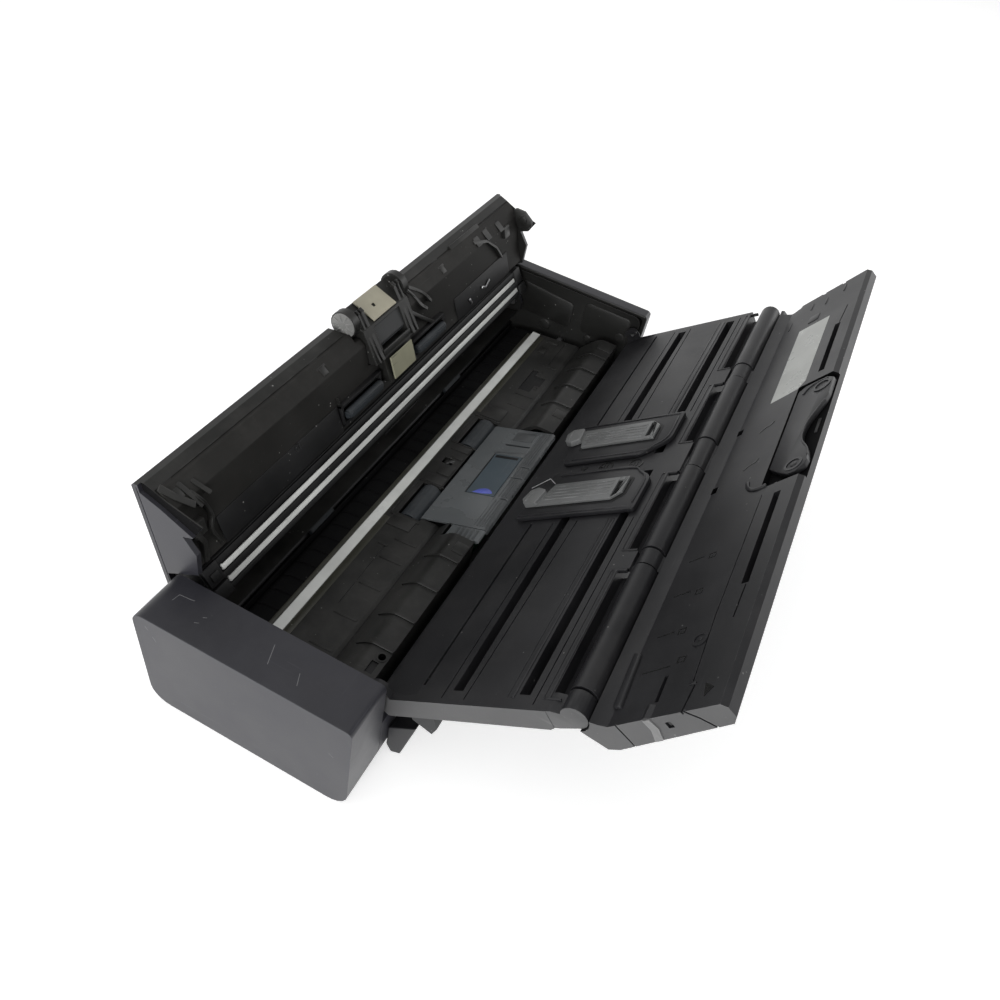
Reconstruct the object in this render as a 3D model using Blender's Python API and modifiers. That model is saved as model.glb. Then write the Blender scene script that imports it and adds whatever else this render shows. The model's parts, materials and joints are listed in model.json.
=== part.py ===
"""Portable duplex document scanner, opened out.

Metres, +Z up. X runs along the scanner, the drive end at +X. -Y is the side where sheets come
out, +Y the side of the feed tray. The origin is on the underside, midway between the ends and
midway between the front and the back of the end caps.
"""

import math

import bmesh
import bpy
from mathutils import Matrix, Vector

# Body
body_length = 0.288
body_height = 0.051
body_depth = 0.084
front_lean = 0.0018
near_cap_width = 0.020
far_cap_width = 0.007
cap_wall = 0.0022
cap_top_front_radius = 0.005
cap_top_rear_radius = 0.007
cap_bottom_radius = 0.008
cap_edge_radius = 0.003
clearance = 0.0003
running_gap = 0.0004
overrun = 0.010
floor_thickness = 0.003
base_wall = 0.0022
front_wall_height = 0.018
rear_wall_height = 0.0275
side_frame_thickness = 0.002

# Joint axes as depth (Y) and height (Z), and the angles at rest from level
cover_axis_y = -0.0327
cover_axis_z = 0.030
cover_open_angle = math.radians(100.2)
tray_axis_y = 0.0378
tray_axis_drop = 0.0110
tray_angle = math.radians(38.1)
flap_axis_out = 0.07349
flap_axis_drop = 0.00514
flap_angle = math.radians(18.6)
hinge_pin_radius = 0.0018
tray_pin_radius = 0.0010
tray_knuckle_wall = 0.0026
hinge_pin_inset = 0.0032

# Paper path in the base
path_end_gap = 0.0065
sheet_wall = 0.0018
chute_front = -0.0287
chute_leg_top = 0.015
chute_top = 0.0182
strip_y = -0.0134
strip_width = 0.0046
strip_thickness = 0.0012
strip_top = 0.0190
sensor_depth = 0.0126
sensor_top = 0.0150
sensor_neck_gap = 0.0006
platen_front_height = 0.0193
platen_ridge_y = 0.0110
platen_ridge_height = 0.0215
guide_front = 0.0131
guide_rise_y = 0.0173
guide_rise_height = 0.0265
guide_crest_y = 0.0253
guide_crest_height = 0.0320
guide_rear = 0.0321
guide_rib_height = 0.0007
guide_rib_width = 0.0012
guide_rib_shares = (0.472, 0.609, 0.746, 0.867)

# Rollers and gears
drive_y = -0.0011
drive_z = 0.0162
drive_roller_radius = 0.0050
drive_shaft_radius = 0.0018
roller_offset = 0.0273
roller_width = 0.0215
roller_window_depth = 0.0086
eject_z = 0.0133
eject_roller_radius = 0.0042
eject_shaft_radius = 0.0018
eject_roller_offset = 0.058
eject_roller_width = 0.016
gear_module = 0.0008
gear_width = 0.004
gear_plane_gap = 0.0007
tooth_relief = 0.00015
tooth_depth = 0.0016
drive_teeth = 20
eject_teeth = 12
lower_idler_teeth = 25
upper_idler_teeth = 30
pinion_teeth = 12
upper_idler_bearing = math.radians(60)
pinion_bearing = math.radians(-20)
gear_post_radius = 0.0015
motor_radius = 0.011
motor_shaft_radius = 0.001

# Separation plate
separation_front_y = 0.0032
separation_front_z = 0.0208
separation_angle = math.radians(20.4)
separation_length = 0.0319
separation_half_width = 0.03625
separation_wall = 0.0014
separation_pivot_out = 0.0300
separation_pivot_drop = 0.0030
pad_half_width = 0.0148
pad_front = 0.0108
pad_rear = 0.0248
pad_proud = 0.0002
release_width = 0.0072
release_front = 0.0160
release_rear = 0.0320

# Cover, in its own frame: out from the hinge axis and up from it, closed
cover_end_gap = 0.0008
cover_depth = 0.0578
cover_top = 0.012
cover_wall = 0.002
cover_lip = 0.007
pressure_out = 0.0312
pressure_drop = 0.0052
pressure_radius = 0.0032
pressure_length = 0.026
pickup_setback = 0.0103
pickup_foot_setback = 0.0183
pickup_rise = 0.0025
pickup_radius = 0.0061
pickup_half_width = 0.009
pickup_shaft_radius = 0.0015
cheek_overhang = 0.0008
cheek_rise = 0.0060
cheek_radius = 0.0058
cheek_inner = 0.0170
cheek_outer = 0.0205
button_radius = 0.0045
button_out = 0.040
button_insets = (0.0377, 0.0217)
button_flange = 0.0012
button_proud = 0.0004

# Feed tray, in its own frame: out from the hinge axis and up from its face
tray_end_gap = 0.0023
tray_face_drop = 0.00283
tray_thickness = 0.008
tray_inner_edge = -0.0050
tray_outer_edge = 0.0648
barrel_radius = 0.0044
barrel_inner_ends = (0.0090, 0.0658, -0.0106, -0.0700)
barrel_middle_ends = (0.0567, -0.0580)
barrel_insets = (0.0105, 0.0048)
slot_width = 0.004
slot_depth = 0.005
slot_inner_end = 0.006
slot_inset = 0.0056
inner_slot_out = 0.0294
outer_slot_out = 0.0550
lug_width = 0.006
hinge_rod_radius = 0.0015

# Flap
flap_end_gap = 0.0020
flap_depth = 0.0482
flap_face_drop = 0.00505
flap_thickness = 0.0070
flap_slot_out = 0.0406
flap_slot_width = 0.0026
flap_slot_depth = 0.0045
flap_slot_gap = 0.006
arm_pivot_offset = 0.0233
arm_pivot_out = 0.0430
arm_reach = 0.0575
arm_width = 0.0155
arm_thickness = 0.002
arm_recess_depth = 0.0026

# Sheet guides and their fences
guide_inner = 0.0040
guide_outer = 0.0337
guide_start = 0.0058
guide_end = 0.0589
guide_plate = 0.0016
guide_corner_run = 0.0064
guide_corner_rise = 0.0096
guide_stem_length = 0.008
fence_hinge = 0.0275
fence_width = 0.0140
fence_start = 0.0127
fence_end = 0.0512
fence_thickness = 0.0012

# Feet, socket, board and rear brackets
foot_radius = 0.005
foot_thickness = 0.0017
foot_inset = 0.0185
foot_y = 0.028
socket_width = 0.009
socket_height = 0.0034
socket_length = 0.0065
socket_inset = 0.0405
socket_z = 0.009
board_thickness = 0.0016
board_half_length = 0.080
bracket_inset = 0.0085
bracket_width = 0.007

round_steps = 20

inner_near = body_length / 2 - near_cap_width
inner_far = far_cap_width - body_length / 2
middle_x = (inner_near + inner_far) / 2
front_y = -body_depth / 2
rear_y = body_depth / 2
tray_axis_z = body_height - tray_axis_drop
inner_half = (inner_near - inner_far) / 2
path_half_length = inner_half - path_end_gap
cover_half_length = inner_half - cover_end_gap
tray_half_length = inner_half - tray_end_gap
flap_half_length = inner_half - flap_end_gap
foot_offset = inner_half - foot_inset
socket_offset = inner_half - socket_inset
bracket_offset = inner_half - bracket_inset
button_offsets = tuple(cover_half_length - inset for inset in button_insets)
barrel_outer_ends = (
    barrel_middle_ends[0], inner_half - barrel_insets[0], barrel_middle_ends[1],
    barrel_insets[1] - inner_half,
)
slot_outer_end = tray_half_length - slot_inset
cheek_out = cover_depth + cheek_overhang
pickup_out = cheek_out - pickup_setback
pickup_foot_out = pickup_out - pickup_foot_setback

scene = bpy.context.scene


def clear_scene():
    for thing in list(bpy.data.objects):
        bpy.data.objects.remove(thing)


def new_collection(name):
    collection = bpy.data.collections.new(name)
    scene.collection.children.link(collection)
    return collection


def material(name, colour, roughness, metallic=0.0):
    made = bpy.data.materials.new(name)
    made.use_nodes = True
    shader = made.node_tree.nodes["Principled BSDF"]
    shader.inputs["Base Color"].default_value = (*colour, 1.0)
    shader.inputs["Roughness"].default_value = roughness
    shader.inputs["Metallic"].default_value = metallic
    return made


def axis_empty(name, matrix, parent=None):
    """An empty on a joint axis; matrix is in the parent's frame."""
    empty = bpy.data.objects.new(name, None)
    parts.objects.link(empty)
    empty.parent = parent
    empty.matrix_basis = matrix
    bpy.context.view_layer.update()
    return empty


def tilted(y, z, angle):
    return Matrix.Translation((0, y, z)) @ Matrix.Rotation(angle, 4, "X")


def place(mesh_data, name, finish, parent, collection=None):
    thing = bpy.data.objects.new(name, mesh_data)
    (collection or parts).objects.link(thing)
    thing.parent = parent
    if finish:
        thing.data.materials.append(finish)
    if collection == cutters:
        thing.hide_render = True
        thing.display_type = "WIRE"
    return thing


def arc(centre, radius, start, end, steps=6):
    """Points on an arc, angles in degrees."""
    angles = [math.radians(start + (end - start) * step / steps) for step in range(steps + 1)]
    return [(centre[0] + radius * math.cos(a), centre[1] + radius * math.sin(a)) for a in angles]


def rounded(points, radii, steps=5):
    """A closed outline with its corners rounded."""
    result = []
    count = len(points)
    for index, (point, radius) in enumerate(zip(points, radii)):
        corner = Vector(point)
        if not radius:
            result.append(tuple(corner))
            continue
        before = (Vector(points[index - 1]) - corner).normalized()
        after = (Vector(points[(index + 1) % count]) - corner).normalized()
        half = before.angle(after) / 2
        centre = corner + (before + after).normalized() * radius / math.sin(half)
        first = (corner + before * radius / math.tan(half) - centre).normalized()
        last = (corner + after * radius / math.tan(half) - centre).normalized()
        for step in range(steps + 1):
            result.append(tuple(centre + first.slerp(last, step / steps) * radius))
    return result


def thickened(points, thickness):
    """A bent sheet's outline: the points are one face, the other lies to their right."""
    path = [Vector(point) for point in points]
    offset = []
    for index, point in enumerate(path):
        ahead = path[min(index + 1, len(path) - 1)] - path[min(index, len(path) - 2)]
        behind = path[max(index, 1)] - path[max(index - 1, 0)]
        normal_ahead = Vector((ahead.y, -ahead.x)).normalized()
        normal_behind = Vector((behind.y, -behind.x)).normalized()
        mitre = (normal_ahead + normal_behind).normalized()
        offset.append(tuple(point + mitre * thickness / mitre.dot(normal_ahead)))
    return [tuple(point) for point in path] + offset[::-1]


def scaled(shares, width, height):
    return [(width * across, height * up) for across, up in shares]


side_plane = Matrix(((0, 0, 1, 0), (1, 0, 0, 0), (0, 1, 0, 0), (0, 0, 0, 1)))
plan_plane = Matrix.Identity(4)


def extruded(name, outlines, low, high, plane=side_plane, finish=None, parent=None, collection=None):
    """A flat outline, with any holes, run from low to high across its plane."""
    curve = bpy.data.curves.new(name, "CURVE")
    curve.dimensions = "2D"
    curve.fill_mode = "BOTH"
    curve.extrude = (high - low) / 2
    for outline in outlines:
        spline = curve.splines.new("POLY")
        spline.points.add(len(outline) - 1)
        for point, place_at in zip(spline.points, outline):
            point.co = (*place_at, 0, 1)
        spline.use_cyclic_u = True
    drawn = bpy.data.objects.new(name + "_outline", curve)
    parts.objects.link(drawn)
    bpy.context.view_layer.update()
    solid = bpy.data.meshes.new_from_object(drawn.evaluated_get(bpy.context.evaluated_depsgraph_get()))
    bpy.data.objects.remove(drawn)
    shape = bmesh.new()
    shape.from_mesh(solid)
    bmesh.ops.remove_doubles(shape, verts=shape.verts, dist=merge_distance)
    bmesh.ops.transform(shape, matrix=Matrix.Translation((0, 0, (low + high) / 2)), verts=shape.verts)
    bmesh.ops.transform(shape, matrix=plane, verts=shape.verts)
    bmesh.ops.recalc_face_normals(shape, faces=shape.faces)
    shape.to_mesh(solid)
    shape.free()
    return place(solid, name, finish, parent, collection)


def boxes(name, spans, finish=None, parent=None, collection=None):
    """One mesh of boxes, each given as (x low, x high, y low, y high, z low, z high)."""
    shape = bmesh.new()
    for x_low, x_high, y_low, y_high, z_low, z_high in spans:
        centre = Vector((x_low + x_high, y_low + y_high, z_low + z_high)) / 2
        size = (x_high - x_low, y_high - y_low, z_high - z_low, 1)
        matrix = Matrix.Translation(centre) @ Matrix.Diagonal(size)
        bmesh.ops.create_cube(shape, size=1, matrix=matrix)
    solid = bpy.data.meshes.new(name)
    shape.to_mesh(solid)
    shape.free()
    return place(solid, name, finish, parent, collection)


to_x = Matrix.Rotation(math.pi / 2, 4, "Y")


def rods(name, spans, finish=None, parent=None, collection=None, steps=round_steps, turn=to_x):
    """One mesh of cylinders, each (low, high, first, second, radius), along X unless turned."""
    shape = bmesh.new()
    for low, high, first, second, radius in spans:
        centre = ((low + high) / 2, first, second)
        if turn is not to_x:
            centre = (first, second, (low + high) / 2)
        bmesh.ops.create_cone(
            shape, cap_ends=True, segments=steps, radius1=radius, radius2=radius,
            depth=high - low, matrix=Matrix.Translation(centre) @ turn,
        )
    solid = bpy.data.meshes.new(name)
    shape.to_mesh(solid)
    shape.free()
    solid.shade_smooth()
    solid.set_sharp_from_angle(angle=sharp_angle)
    return place(solid, name, finish, parent, collection)


def boolean(target, other, operation="DIFFERENCE"):
    modifier = target.modifiers.new(operation.lower(), "BOOLEAN")
    modifier.operation = operation
    modifier.object = other
    return target


def joined(target, other):
    """Unite a helper solid with its target; the helper is kept with the cutters."""
    return boolean(target, other, "UNION")


def ring(name, bore, profile, low, high, first, second, finish, parent, steps=round_steps):
    """A turned ring on an X axis: profile rows are (share along, radius), outer side."""
    length = high - low
    points = [(radius, high - share * length) for share, radius in profile]
    points += [(bore, low), (bore, high)]
    shape = bmesh.new()
    verts = [shape.verts.new((radius, 0, along)) for radius, along in points]
    for index, vert in enumerate(verts):
        shape.edges.new((vert, verts[(index + 1) % len(verts)]))
    solid = bpy.data.meshes.new(name)
    shape.to_mesh(solid)
    shape.free()
    thing = place(solid, name, finish, parent)
    thing.matrix_basis = Matrix.Translation((0, first, second)) @ to_x
    screw = thing.modifiers.new("turn", "SCREW")
    screw.steps = steps
    screw.render_steps = steps
    screw.use_merge_vertices = True
    screw.merge_threshold = merge_distance
    screw.use_smooth_shade = True
    return thing


def gear_outline(teeth, share_rows):
    pitch = gear_module * teeth / 2
    tip = pitch - tooth_relief
    radii = {"tip": tip, "root": tip - tooth_depth}
    points = []
    for tooth in range(teeth):
        for share, kind in share_rows:
            angle = 2 * math.pi * (tooth + share) / teeth
            points.append((radii[kind] * math.cos(angle), radii[kind] * math.sin(angle)))
    return points


tooth_shares = ((0.0, "root"), (0.16, "tip"), (0.40, "tip"), (0.56, "root"))


def gear(name, teeth, bore, parent, finish):
    low = gear_low
    hole = arc((0, 0), bore, 0, 360 - 360 / round_steps, round_steps - 1)
    outline = gear_outline(teeth, tooth_shares)
    return extruded(name, (outline, hole), low, low + gear_width, finish=finish, parent=parent)


def soften(thing, width, segments=2):
    bevel = thing.modifiers.new("round edges", "BEVEL")
    bevel.width = width
    bevel.segments = segments
    bevel.limit_method = "ANGLE"
    bevel.angle_limit = bevel_angle
    return thing


def round_end(thing, end_x, width, segments):
    """Round only the edges that lie in the outer end face."""
    shape = bmesh.new()
    shape.from_mesh(thing.data)
    layer = shape.edges.layers.float.new("bevel_weight_edge")
    for edge in shape.edges:
        on_end = all(abs(vert.co.x - end_x) < merge_distance for vert in edge.verts)
        if on_end and edge.calc_face_angle(0) > bevel_angle:
            edge[layer] = 1
    shape.to_mesh(thing.data)
    shape.free()
    bevel = thing.modifiers.new("round end", "BEVEL")
    bevel.limit_method = "WEIGHT"
    bevel.width = width
    bevel.segments = segments
    return thing


merge_distance = 0.00001
sharp_angle = math.radians(35)
bevel_angle = math.radians(40)


def cap_outline(inset):
    """The end caps' side view, drawn in by an inset."""
    corners = [
        (front_y + inset, body_height - inset),
        (front_y + front_lean + inset, inset),
        (rear_y - inset, inset),
        (rear_y - inset, body_height - inset),
    ]
    radii = [cap_top_front_radius, cap_bottom_radius, cap_bottom_radius, cap_top_rear_radius]
    return rounded(corners, [radius - inset for radius in radii])


def make_end_cap(name, mouth_x, end_x):
    sign = 1 if end_x > mouth_x else -1
    low, high = sorted((mouth_x, end_x))
    cap = extruded(name, [cap_outline(0)], low, high, finish=case_finish)
    round_end(cap, end_x, cap_edge_radius, 4)
    ends = sorted((mouth_x - sign * overrun, end_x - sign * cap_wall))
    hollow = extruded(name + "_hollow", [cap_outline(cap_wall)], *ends, collection=cutters)
    boolean(cap, hollow)
    return cap


def shaft_places():
    """Where each shaft crosses the side frames: depth, height and radius."""
    return {
        "cover": (cover_axis_y, cover_axis_z, hinge_pin_radius),
        "tray": (tray_axis_y, tray_axis_z, tray_pin_radius),
        "drive": (drive_y, drive_z, drive_shaft_radius),
        "eject": (eject_y, eject_z, eject_shaft_radius),
    }


gear_reach = gear_module * (drive_teeth + 2 * lower_idler_teeth + eject_teeth) / 2
eject_y = drive_y - math.sqrt(gear_reach ** 2 - (drive_z - eject_z) ** 2)
near_frame_low = inner_near + clearance
far_frame_high = inner_far - clearance
gear_low = near_frame_low + side_frame_thickness + gear_plane_gap


def gear_centres():
    """The idlers and the motor pinion, set out from the drive shaft by pitch radii."""
    line = Vector((eject_y - drive_y, eject_z - drive_z)).normalized()
    lower_reach = gear_module * (drive_teeth + lower_idler_teeth) / 2
    lower = Vector((drive_y, drive_z)) + line * lower_reach
    upper_reach = gear_module * (drive_teeth + upper_idler_teeth) / 2
    upper_line = Vector((math.cos(upper_idler_bearing), math.sin(upper_idler_bearing)))
    upper = Vector((drive_y, drive_z)) + upper_line * upper_reach
    pinion_reach = gear_module * (upper_idler_teeth + pinion_teeth) / 2
    pinion_line = Vector((math.cos(pinion_bearing), math.sin(pinion_bearing)))
    return lower, upper, upper + pinion_line * pinion_reach


def make_side_frames():
    bores = []
    for y, z, radius in shaft_places().values():
        hole = arc((y, z), radius + clearance, 0, 360 - 360 / round_steps, round_steps - 1)
        bores.append(hole)
    outline = cap_outline(cap_wall + clearance)
    near = extruded(
        "side_frame_near", [outline] + bores, near_frame_low,
        near_frame_low + side_frame_thickness, finish=frame_finish,
    )
    lower, upper, _ = gear_centres()
    post_low = near_frame_low + side_frame_thickness / 2
    post_high = gear_low + gear_width
    posts = rods(
        "gear_posts",
        [(post_low, post_high, *centre, gear_post_radius) for centre in (lower, upper)],
        collection=cutters,
    )
    joined(near, posts)
    extruded(
        "side_frame_far", [outline] + bores, far_frame_high - side_frame_thickness,
        far_frame_high, finish=inner_finish,
    )


def base_outline():
    front_top = front_y + front_lean * (1 - front_wall_height / body_height)
    front_foot = front_y + front_lean
    outer = rounded(
        [(front_top, front_wall_height), (front_foot, 0), (rear_y, 0), (rear_y, rear_wall_height)],
        [0, cap_bottom_radius, cap_bottom_radius, 0],
    )
    inner_radius = cap_bottom_radius - base_wall
    inner = rounded(
        [
            (rear_y - base_wall, rear_wall_height), (rear_y - base_wall, floor_thickness),
            (front_foot + base_wall, floor_thickness), (front_top + base_wall, front_wall_height),
        ],
        [0, inner_radius, inner_radius, 0],
    )
    return outer + inner


def make_base_frame():
    low = inner_far + clearance
    high = inner_near - clearance
    base = extruded("base_frame", [base_outline()], low, high, finish=case_finish)
    pocket = foot_radius + clearance
    pocket_top = foot_thickness + clearance
    spots = [(middle_x + x, y) for x in (-foot_offset, foot_offset) for y in (-foot_y, foot_y)]
    feet_pockets = rods(
        "foot_pockets", [(-overrun, pocket_top, *spot, pocket) for spot in spots],
        collection=cutters, turn=plan_plane,
    )
    boolean(base, feet_pockets)
    gap = clearance
    socket_x = middle_x - socket_offset
    socket_hole = boxes("socket_hole", [(
        socket_x - socket_width / 2 - gap, socket_x + socket_width / 2 + gap,
        rear_y - base_wall - overrun, rear_y + overrun,
        socket_z - gap, socket_z + socket_height + gap,
    )], collection=cutters)
    boolean(base, socket_hole)
    for index, (x, y) in enumerate(spots):
        rods(f"rubber_foot_{index + 1}", [(0, foot_thickness, x, y, foot_radius)], rubber, turn=plan_plane)


def make_socket():
    socket_x = middle_x - socket_offset
    rear = rear_y - clearance
    socket = boxes("usb_socket", [(
        socket_x - socket_width / 2, socket_x + socket_width / 2,
        rear - socket_length, rear, socket_z, socket_z + socket_height,
    )], metal)
    wall = socket_height * socket_wall_share
    mouth = boxes("socket_mouth", [(
        socket_x - socket_width / 2 + wall, socket_x + socket_width / 2 - wall,
        rear - socket_length / 2, rear + overrun,
        socket_z + wall, socket_z + socket_height - wall,
    )], collection=cutters)
    boolean(socket, mouth)


socket_wall_share = 0.15


def make_board():
    low = floor_thickness + clearance
    boxes("main_board", [(
        middle_x - board_half_length, middle_x + board_half_length,
        guide_front + sheet_wall + overrun * board_inset_share,
        guide_rear - sheet_wall - overrun * board_inset_share,
        low, low + board_thickness,
    )], board_finish)


board_inset_share = 0.1


def make_paper_path():
    low = middle_x - path_half_length
    high = middle_x + path_half_length
    seat = floor_thickness + clearance
    strip_front = strip_y - strip_width / 2
    strip_rear = strip_y + strip_width / 2
    chute_rear = strip_front - clearance - sensor_neck_gap / 2
    chute_bend = chute_front + (chute_rear - chute_front) * chute_bend_share
    chute_bend_top = chute_leg_top + (chute_top - chute_leg_top) * chute_rise_share
    chute = thickened(
        [(chute_front, seat), (chute_front, chute_leg_top), (chute_bend, chute_bend_top),
         (chute_rear, chute_top)], sheet_wall)
    extruded("exit_chute", [chute], low, high, finish=inner_finish)

    neck_top = strip_top - strip_thickness - clearance
    module_front = strip_y - sensor_depth * sensor_front_share
    module_rear = strip_rear + clearance + sensor_depth * sensor_rear_share
    module = [
        (module_front, seat), (module_rear, seat), (module_rear, sensor_top),
        (strip_rear, sensor_top), (strip_rear, neck_top), (strip_front, neck_top),
        (strip_front, sensor_top), (module_front, sensor_top),
    ]
    extruded("lower_sensor_module", [module], low, high, finish=module_finish)
    strip_round = strip_thickness * strip_round_share
    strip = rounded(
        [(strip_front, strip_top - strip_thickness), (strip_rear, strip_top - strip_thickness),
         (strip_rear, strip_top), (strip_front, strip_top)],
        [0, 0, strip_round, strip_round], 2,
    )
    extruded("lower_scan_strip", [strip], low, high, finish=strip_finish)

    platen_front = strip_rear + sensor_neck_gap
    leg = platen_ridge_y + sheet_wall
    plate = thickened(
        [(platen_front, platen_front_height), (platen_ridge_y, platen_ridge_height),
         (leg, platen_ridge_height - sheet_wall / 2), (leg, seat)], sheet_wall)
    platen = extruded("platen", [plate], low, high, finish=inner_finish)
    half = roller_width / 2 + clearance
    window_front = drive_y - drive_roller_radius - clearance
    window_rear = drive_y + drive_roller_radius + clearance
    holes = [
        (middle_x + side * roller_offset - half, middle_x + side * roller_offset + half,
         window_front, window_rear, seat, body_height)
        for side in (-1, 1)
    ]
    sensor_hole = roller_window_depth / 2
    holes.append((middle_x - sensor_hole, middle_x, window_front, drive_y, sensor_top, body_height))
    shelf = separation_front_z - roller_window_depth / 2
    side = separation_half_width + running_gap
    separation_well = (
        middle_x - side, middle_x + side, separation_front_y - running_gap * 2,
        rear_y, shelf, body_height,
    )
    well = boxes("path_windows", holes, collection=cutters)
    boolean(platen, well)
    well_box = boxes("separation_well", [separation_well], collection=cutters)
    boolean(platen, well_box)
    make_paper_guide(low, high, seat, separation_well, well_box)


chute_bend_share = 0.35
chute_rise_share = 0.65
sensor_front_share = 0.70
sensor_rear_share = 0.10
strip_round_share = 0.33


def guide_profile(lift):
    """The curved ramp that turns sheets down into the path, raised by a lift."""
    rise = (guide_rise_y - lift / 2, guide_rise_height + lift)
    crest = (guide_crest_y, guide_crest_height + lift)
    points = [(guide_front, platen_ridge_height), rise]
    for step in range(1, guide_steps):
        share = step / guide_steps
        eased = math.sin(share * math.pi / 2)
        points.append((rise[0] + (crest[0] - rise[0]) * share, rise[1] + (crest[1] - rise[1]) * eased))
    points += [crest, (guide_rear, guide_crest_height + lift)]
    return points


guide_steps = 5


def make_paper_guide(low, high, seat, separation_well, well_box):
    ramp = guide_profile(0)
    leg_front = (guide_front, seat)
    path = [leg_front] + ramp + [(guide_rear, seat)]
    guide = extruded("paper_guide", [thickened(path, sheet_wall)], low, high, finish=inner_finish)
    rib_path = guide_profile(guide_rib_height)[1:]
    rib_outline = thickened(rib_path, guide_rib_height + sheet_wall / 2)
    for index, share in enumerate(guide_rib_shares):
        for side in (-1, 1):
            x = middle_x + side * share * path_half_length
            rib = extruded(
                f"guide_rib_{index}_{side}", [rib_outline], x - guide_rib_width / 2,
                x + guide_rib_width / 2, collection=cutters,
            )
            joined(guide, rib)
    boolean(guide, well_box)
    lever_low = separation_well[1] - clearance
    lever_y = separation_front_y + release_front * math.cos(separation_angle) - running_gap * 2
    lever_well = boxes("release_well", [(
        lever_low, lever_low + release_width + running_gap * 3, lever_y, rear_y,
        separation_well[4], body_height,
    )], collection=cutters)
    boolean(guide, lever_well)


def separation_axis():
    """The pivot behind and under the separation plate."""
    along = Vector((math.cos(separation_angle), math.sin(separation_angle)))
    up = Vector((-along.y, along.x))
    start = Vector((separation_front_y, separation_front_z))
    return start + along * separation_pivot_out - up * separation_pivot_drop


def make_separation():
    axis = separation_axis()
    frame = axis_empty("separation_axis", tilted(axis.x, axis.y, separation_angle))
    top = separation_pivot_drop
    bottom = top - separation_wall
    front = -separation_pivot_out
    rear = separation_length - separation_pivot_out
    nose = separation_wall / 2
    outline = [
        (front, top - nose), (front + nose, top), (rear - nose, top), (rear, top - nose),
        (rear, bottom - separation_wall), (rear - separation_wall, bottom - separation_wall),
        (rear - separation_wall, bottom), (front, bottom + nose / 2),
    ]
    low = middle_x - separation_half_width
    high = middle_x + separation_half_width
    plate = extruded("separation_cover", [outline], low, high, finish=grey_finish, parent=frame)
    gap = clearance
    pad_low = front + pad_front
    pad_high = front + pad_rear
    slot_x = middle_x - separation_half_width * separation_slot_share
    window = boxes("pad_window", [
        (middle_x - pad_half_width - gap, middle_x + pad_half_width + gap, pad_low - gap,
         pad_high + gap, bottom - overrun, top + overrun),
        (slot_x, slot_x + separation_wall, pad_low + separation_wall, pad_high,
         bottom - overrun, top + overrun),
    ], parent=frame, collection=cutters)
    boolean(plate, window)
    boxes("separation_pad", [(
        middle_x - pad_half_width, middle_x + pad_half_width, pad_low, pad_high,
        bottom, top + pad_proud,
    )], pad_finish, frame)

    lever_low = high + running_gap
    lever_pivot = axis_empty("release_axis", tilted(axis.x, axis.y, separation_angle))
    lever_front = front + release_front
    lever_rear = front + release_rear
    lever_outline = rounded(
        [(lever_front, bottom - separation_wall), (lever_rear, bottom),
         (lever_rear, top), (lever_front, top)],
        [separation_wall / 2, 0, separation_wall / 2, separation_wall / 2], 3)
    extruded(
        "release_lever", [lever_outline], lever_low, lever_low + release_width,
        finish=grey_finish, parent=lever_pivot,
    )


separation_slot_share = 0.66


def make_roller_set(prefix, y, z, shaft_radius, radius, offset, width, teeth):
    frame = axis_empty(prefix + "_axis", Matrix.Translation((0, y, z)))
    shaft_low = far_frame_high - side_frame_thickness
    shaft_high = gear_low + gear_width
    rods(prefix + "_shaft", [(shaft_low, shaft_high, 0, 0, shaft_radius)], metal, frame)
    first, last = roller_edge_shares
    edge_rows = ((0, radius - clearance), (first, radius), (last, radius), (1, radius - clearance))
    for side, end in ((1, "near"), (-1, "far")):
        centre = middle_x + side * offset
        ring(
            f"{prefix}_roller_{end}", shaft_radius + clearance, edge_rows,
            centre - width / 2, centre + width / 2, 0, 0, roller_rubber, frame,
        )
    gear(prefix + "_gear", teeth, shaft_radius + clearance, frame, gear_finish)


roller_edge_shares = (0.03, 0.97)


def make_gear_train():
    lower, upper, pinion = gear_centres()
    bore = gear_post_radius + clearance
    lower_frame = axis_empty("lower_idler_axis", Matrix.Translation((0, *lower)))
    gear("lower_idler_gear", lower_idler_teeth, bore, lower_frame, gear_finish)
    upper_frame = axis_empty("upper_idler_axis", Matrix.Translation((0, *upper)))
    gear("upper_idler_gear", upper_idler_teeth, bore, upper_frame, gear_finish)
    pinion_frame = axis_empty("pinion_axis", Matrix.Translation((0, *pinion)))
    gear("motor_pinion", pinion_teeth, motor_shaft_radius + clearance, pinion_frame, metal)
    can_low = gear_low + gear_width + clearance
    can_high = body_length / 2 - cap_wall - clearance
    motor = rods("motor", [(can_low, can_high, *pinion, motor_radius)], metal)
    shaft = rods(
        "motor_shaft", [(gear_low, can_low + clearance, *pinion, motor_shaft_radius)],
        collection=cutters,
    )
    joined(motor, shaft)


def make_hinge_pins():
    places = shaft_places()
    for kind in ("cover", "tray"):
        y, z, radius = places[kind]
        near_low = inner_near - hinge_pin_inset
        near_high = near_frame_low + side_frame_thickness
        rods(f"{kind}_hinge_pin_near", [(near_low, near_high, y, z, radius)], metal)
        far_high = inner_far + hinge_pin_inset
        far_low = far_frame_high - side_frame_thickness
        rods(f"{kind}_hinge_pin_far", [(far_low, far_high, y, z, radius)], metal)


def make_rear_brackets():
    shape = [(rear_y + clearance + run, rise) for run, rise in scaled(
        bracket_shares, cap_bottom_radius, front_wall_height)]
    for side, end in ((1, "near"), (-1, "far")):
        centre = middle_x + side * bracket_offset
        low = centre - bracket_width / 2
        extruded(f"rear_bracket_{end}", [shape], low, low + bracket_width, finish=case_finish)


bracket_shares = ((0, 0.45), (0, 0.95), (1.29, 1.43), (0.73, 0.18), (0.28, 0.083), (0, 0.30))


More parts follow.
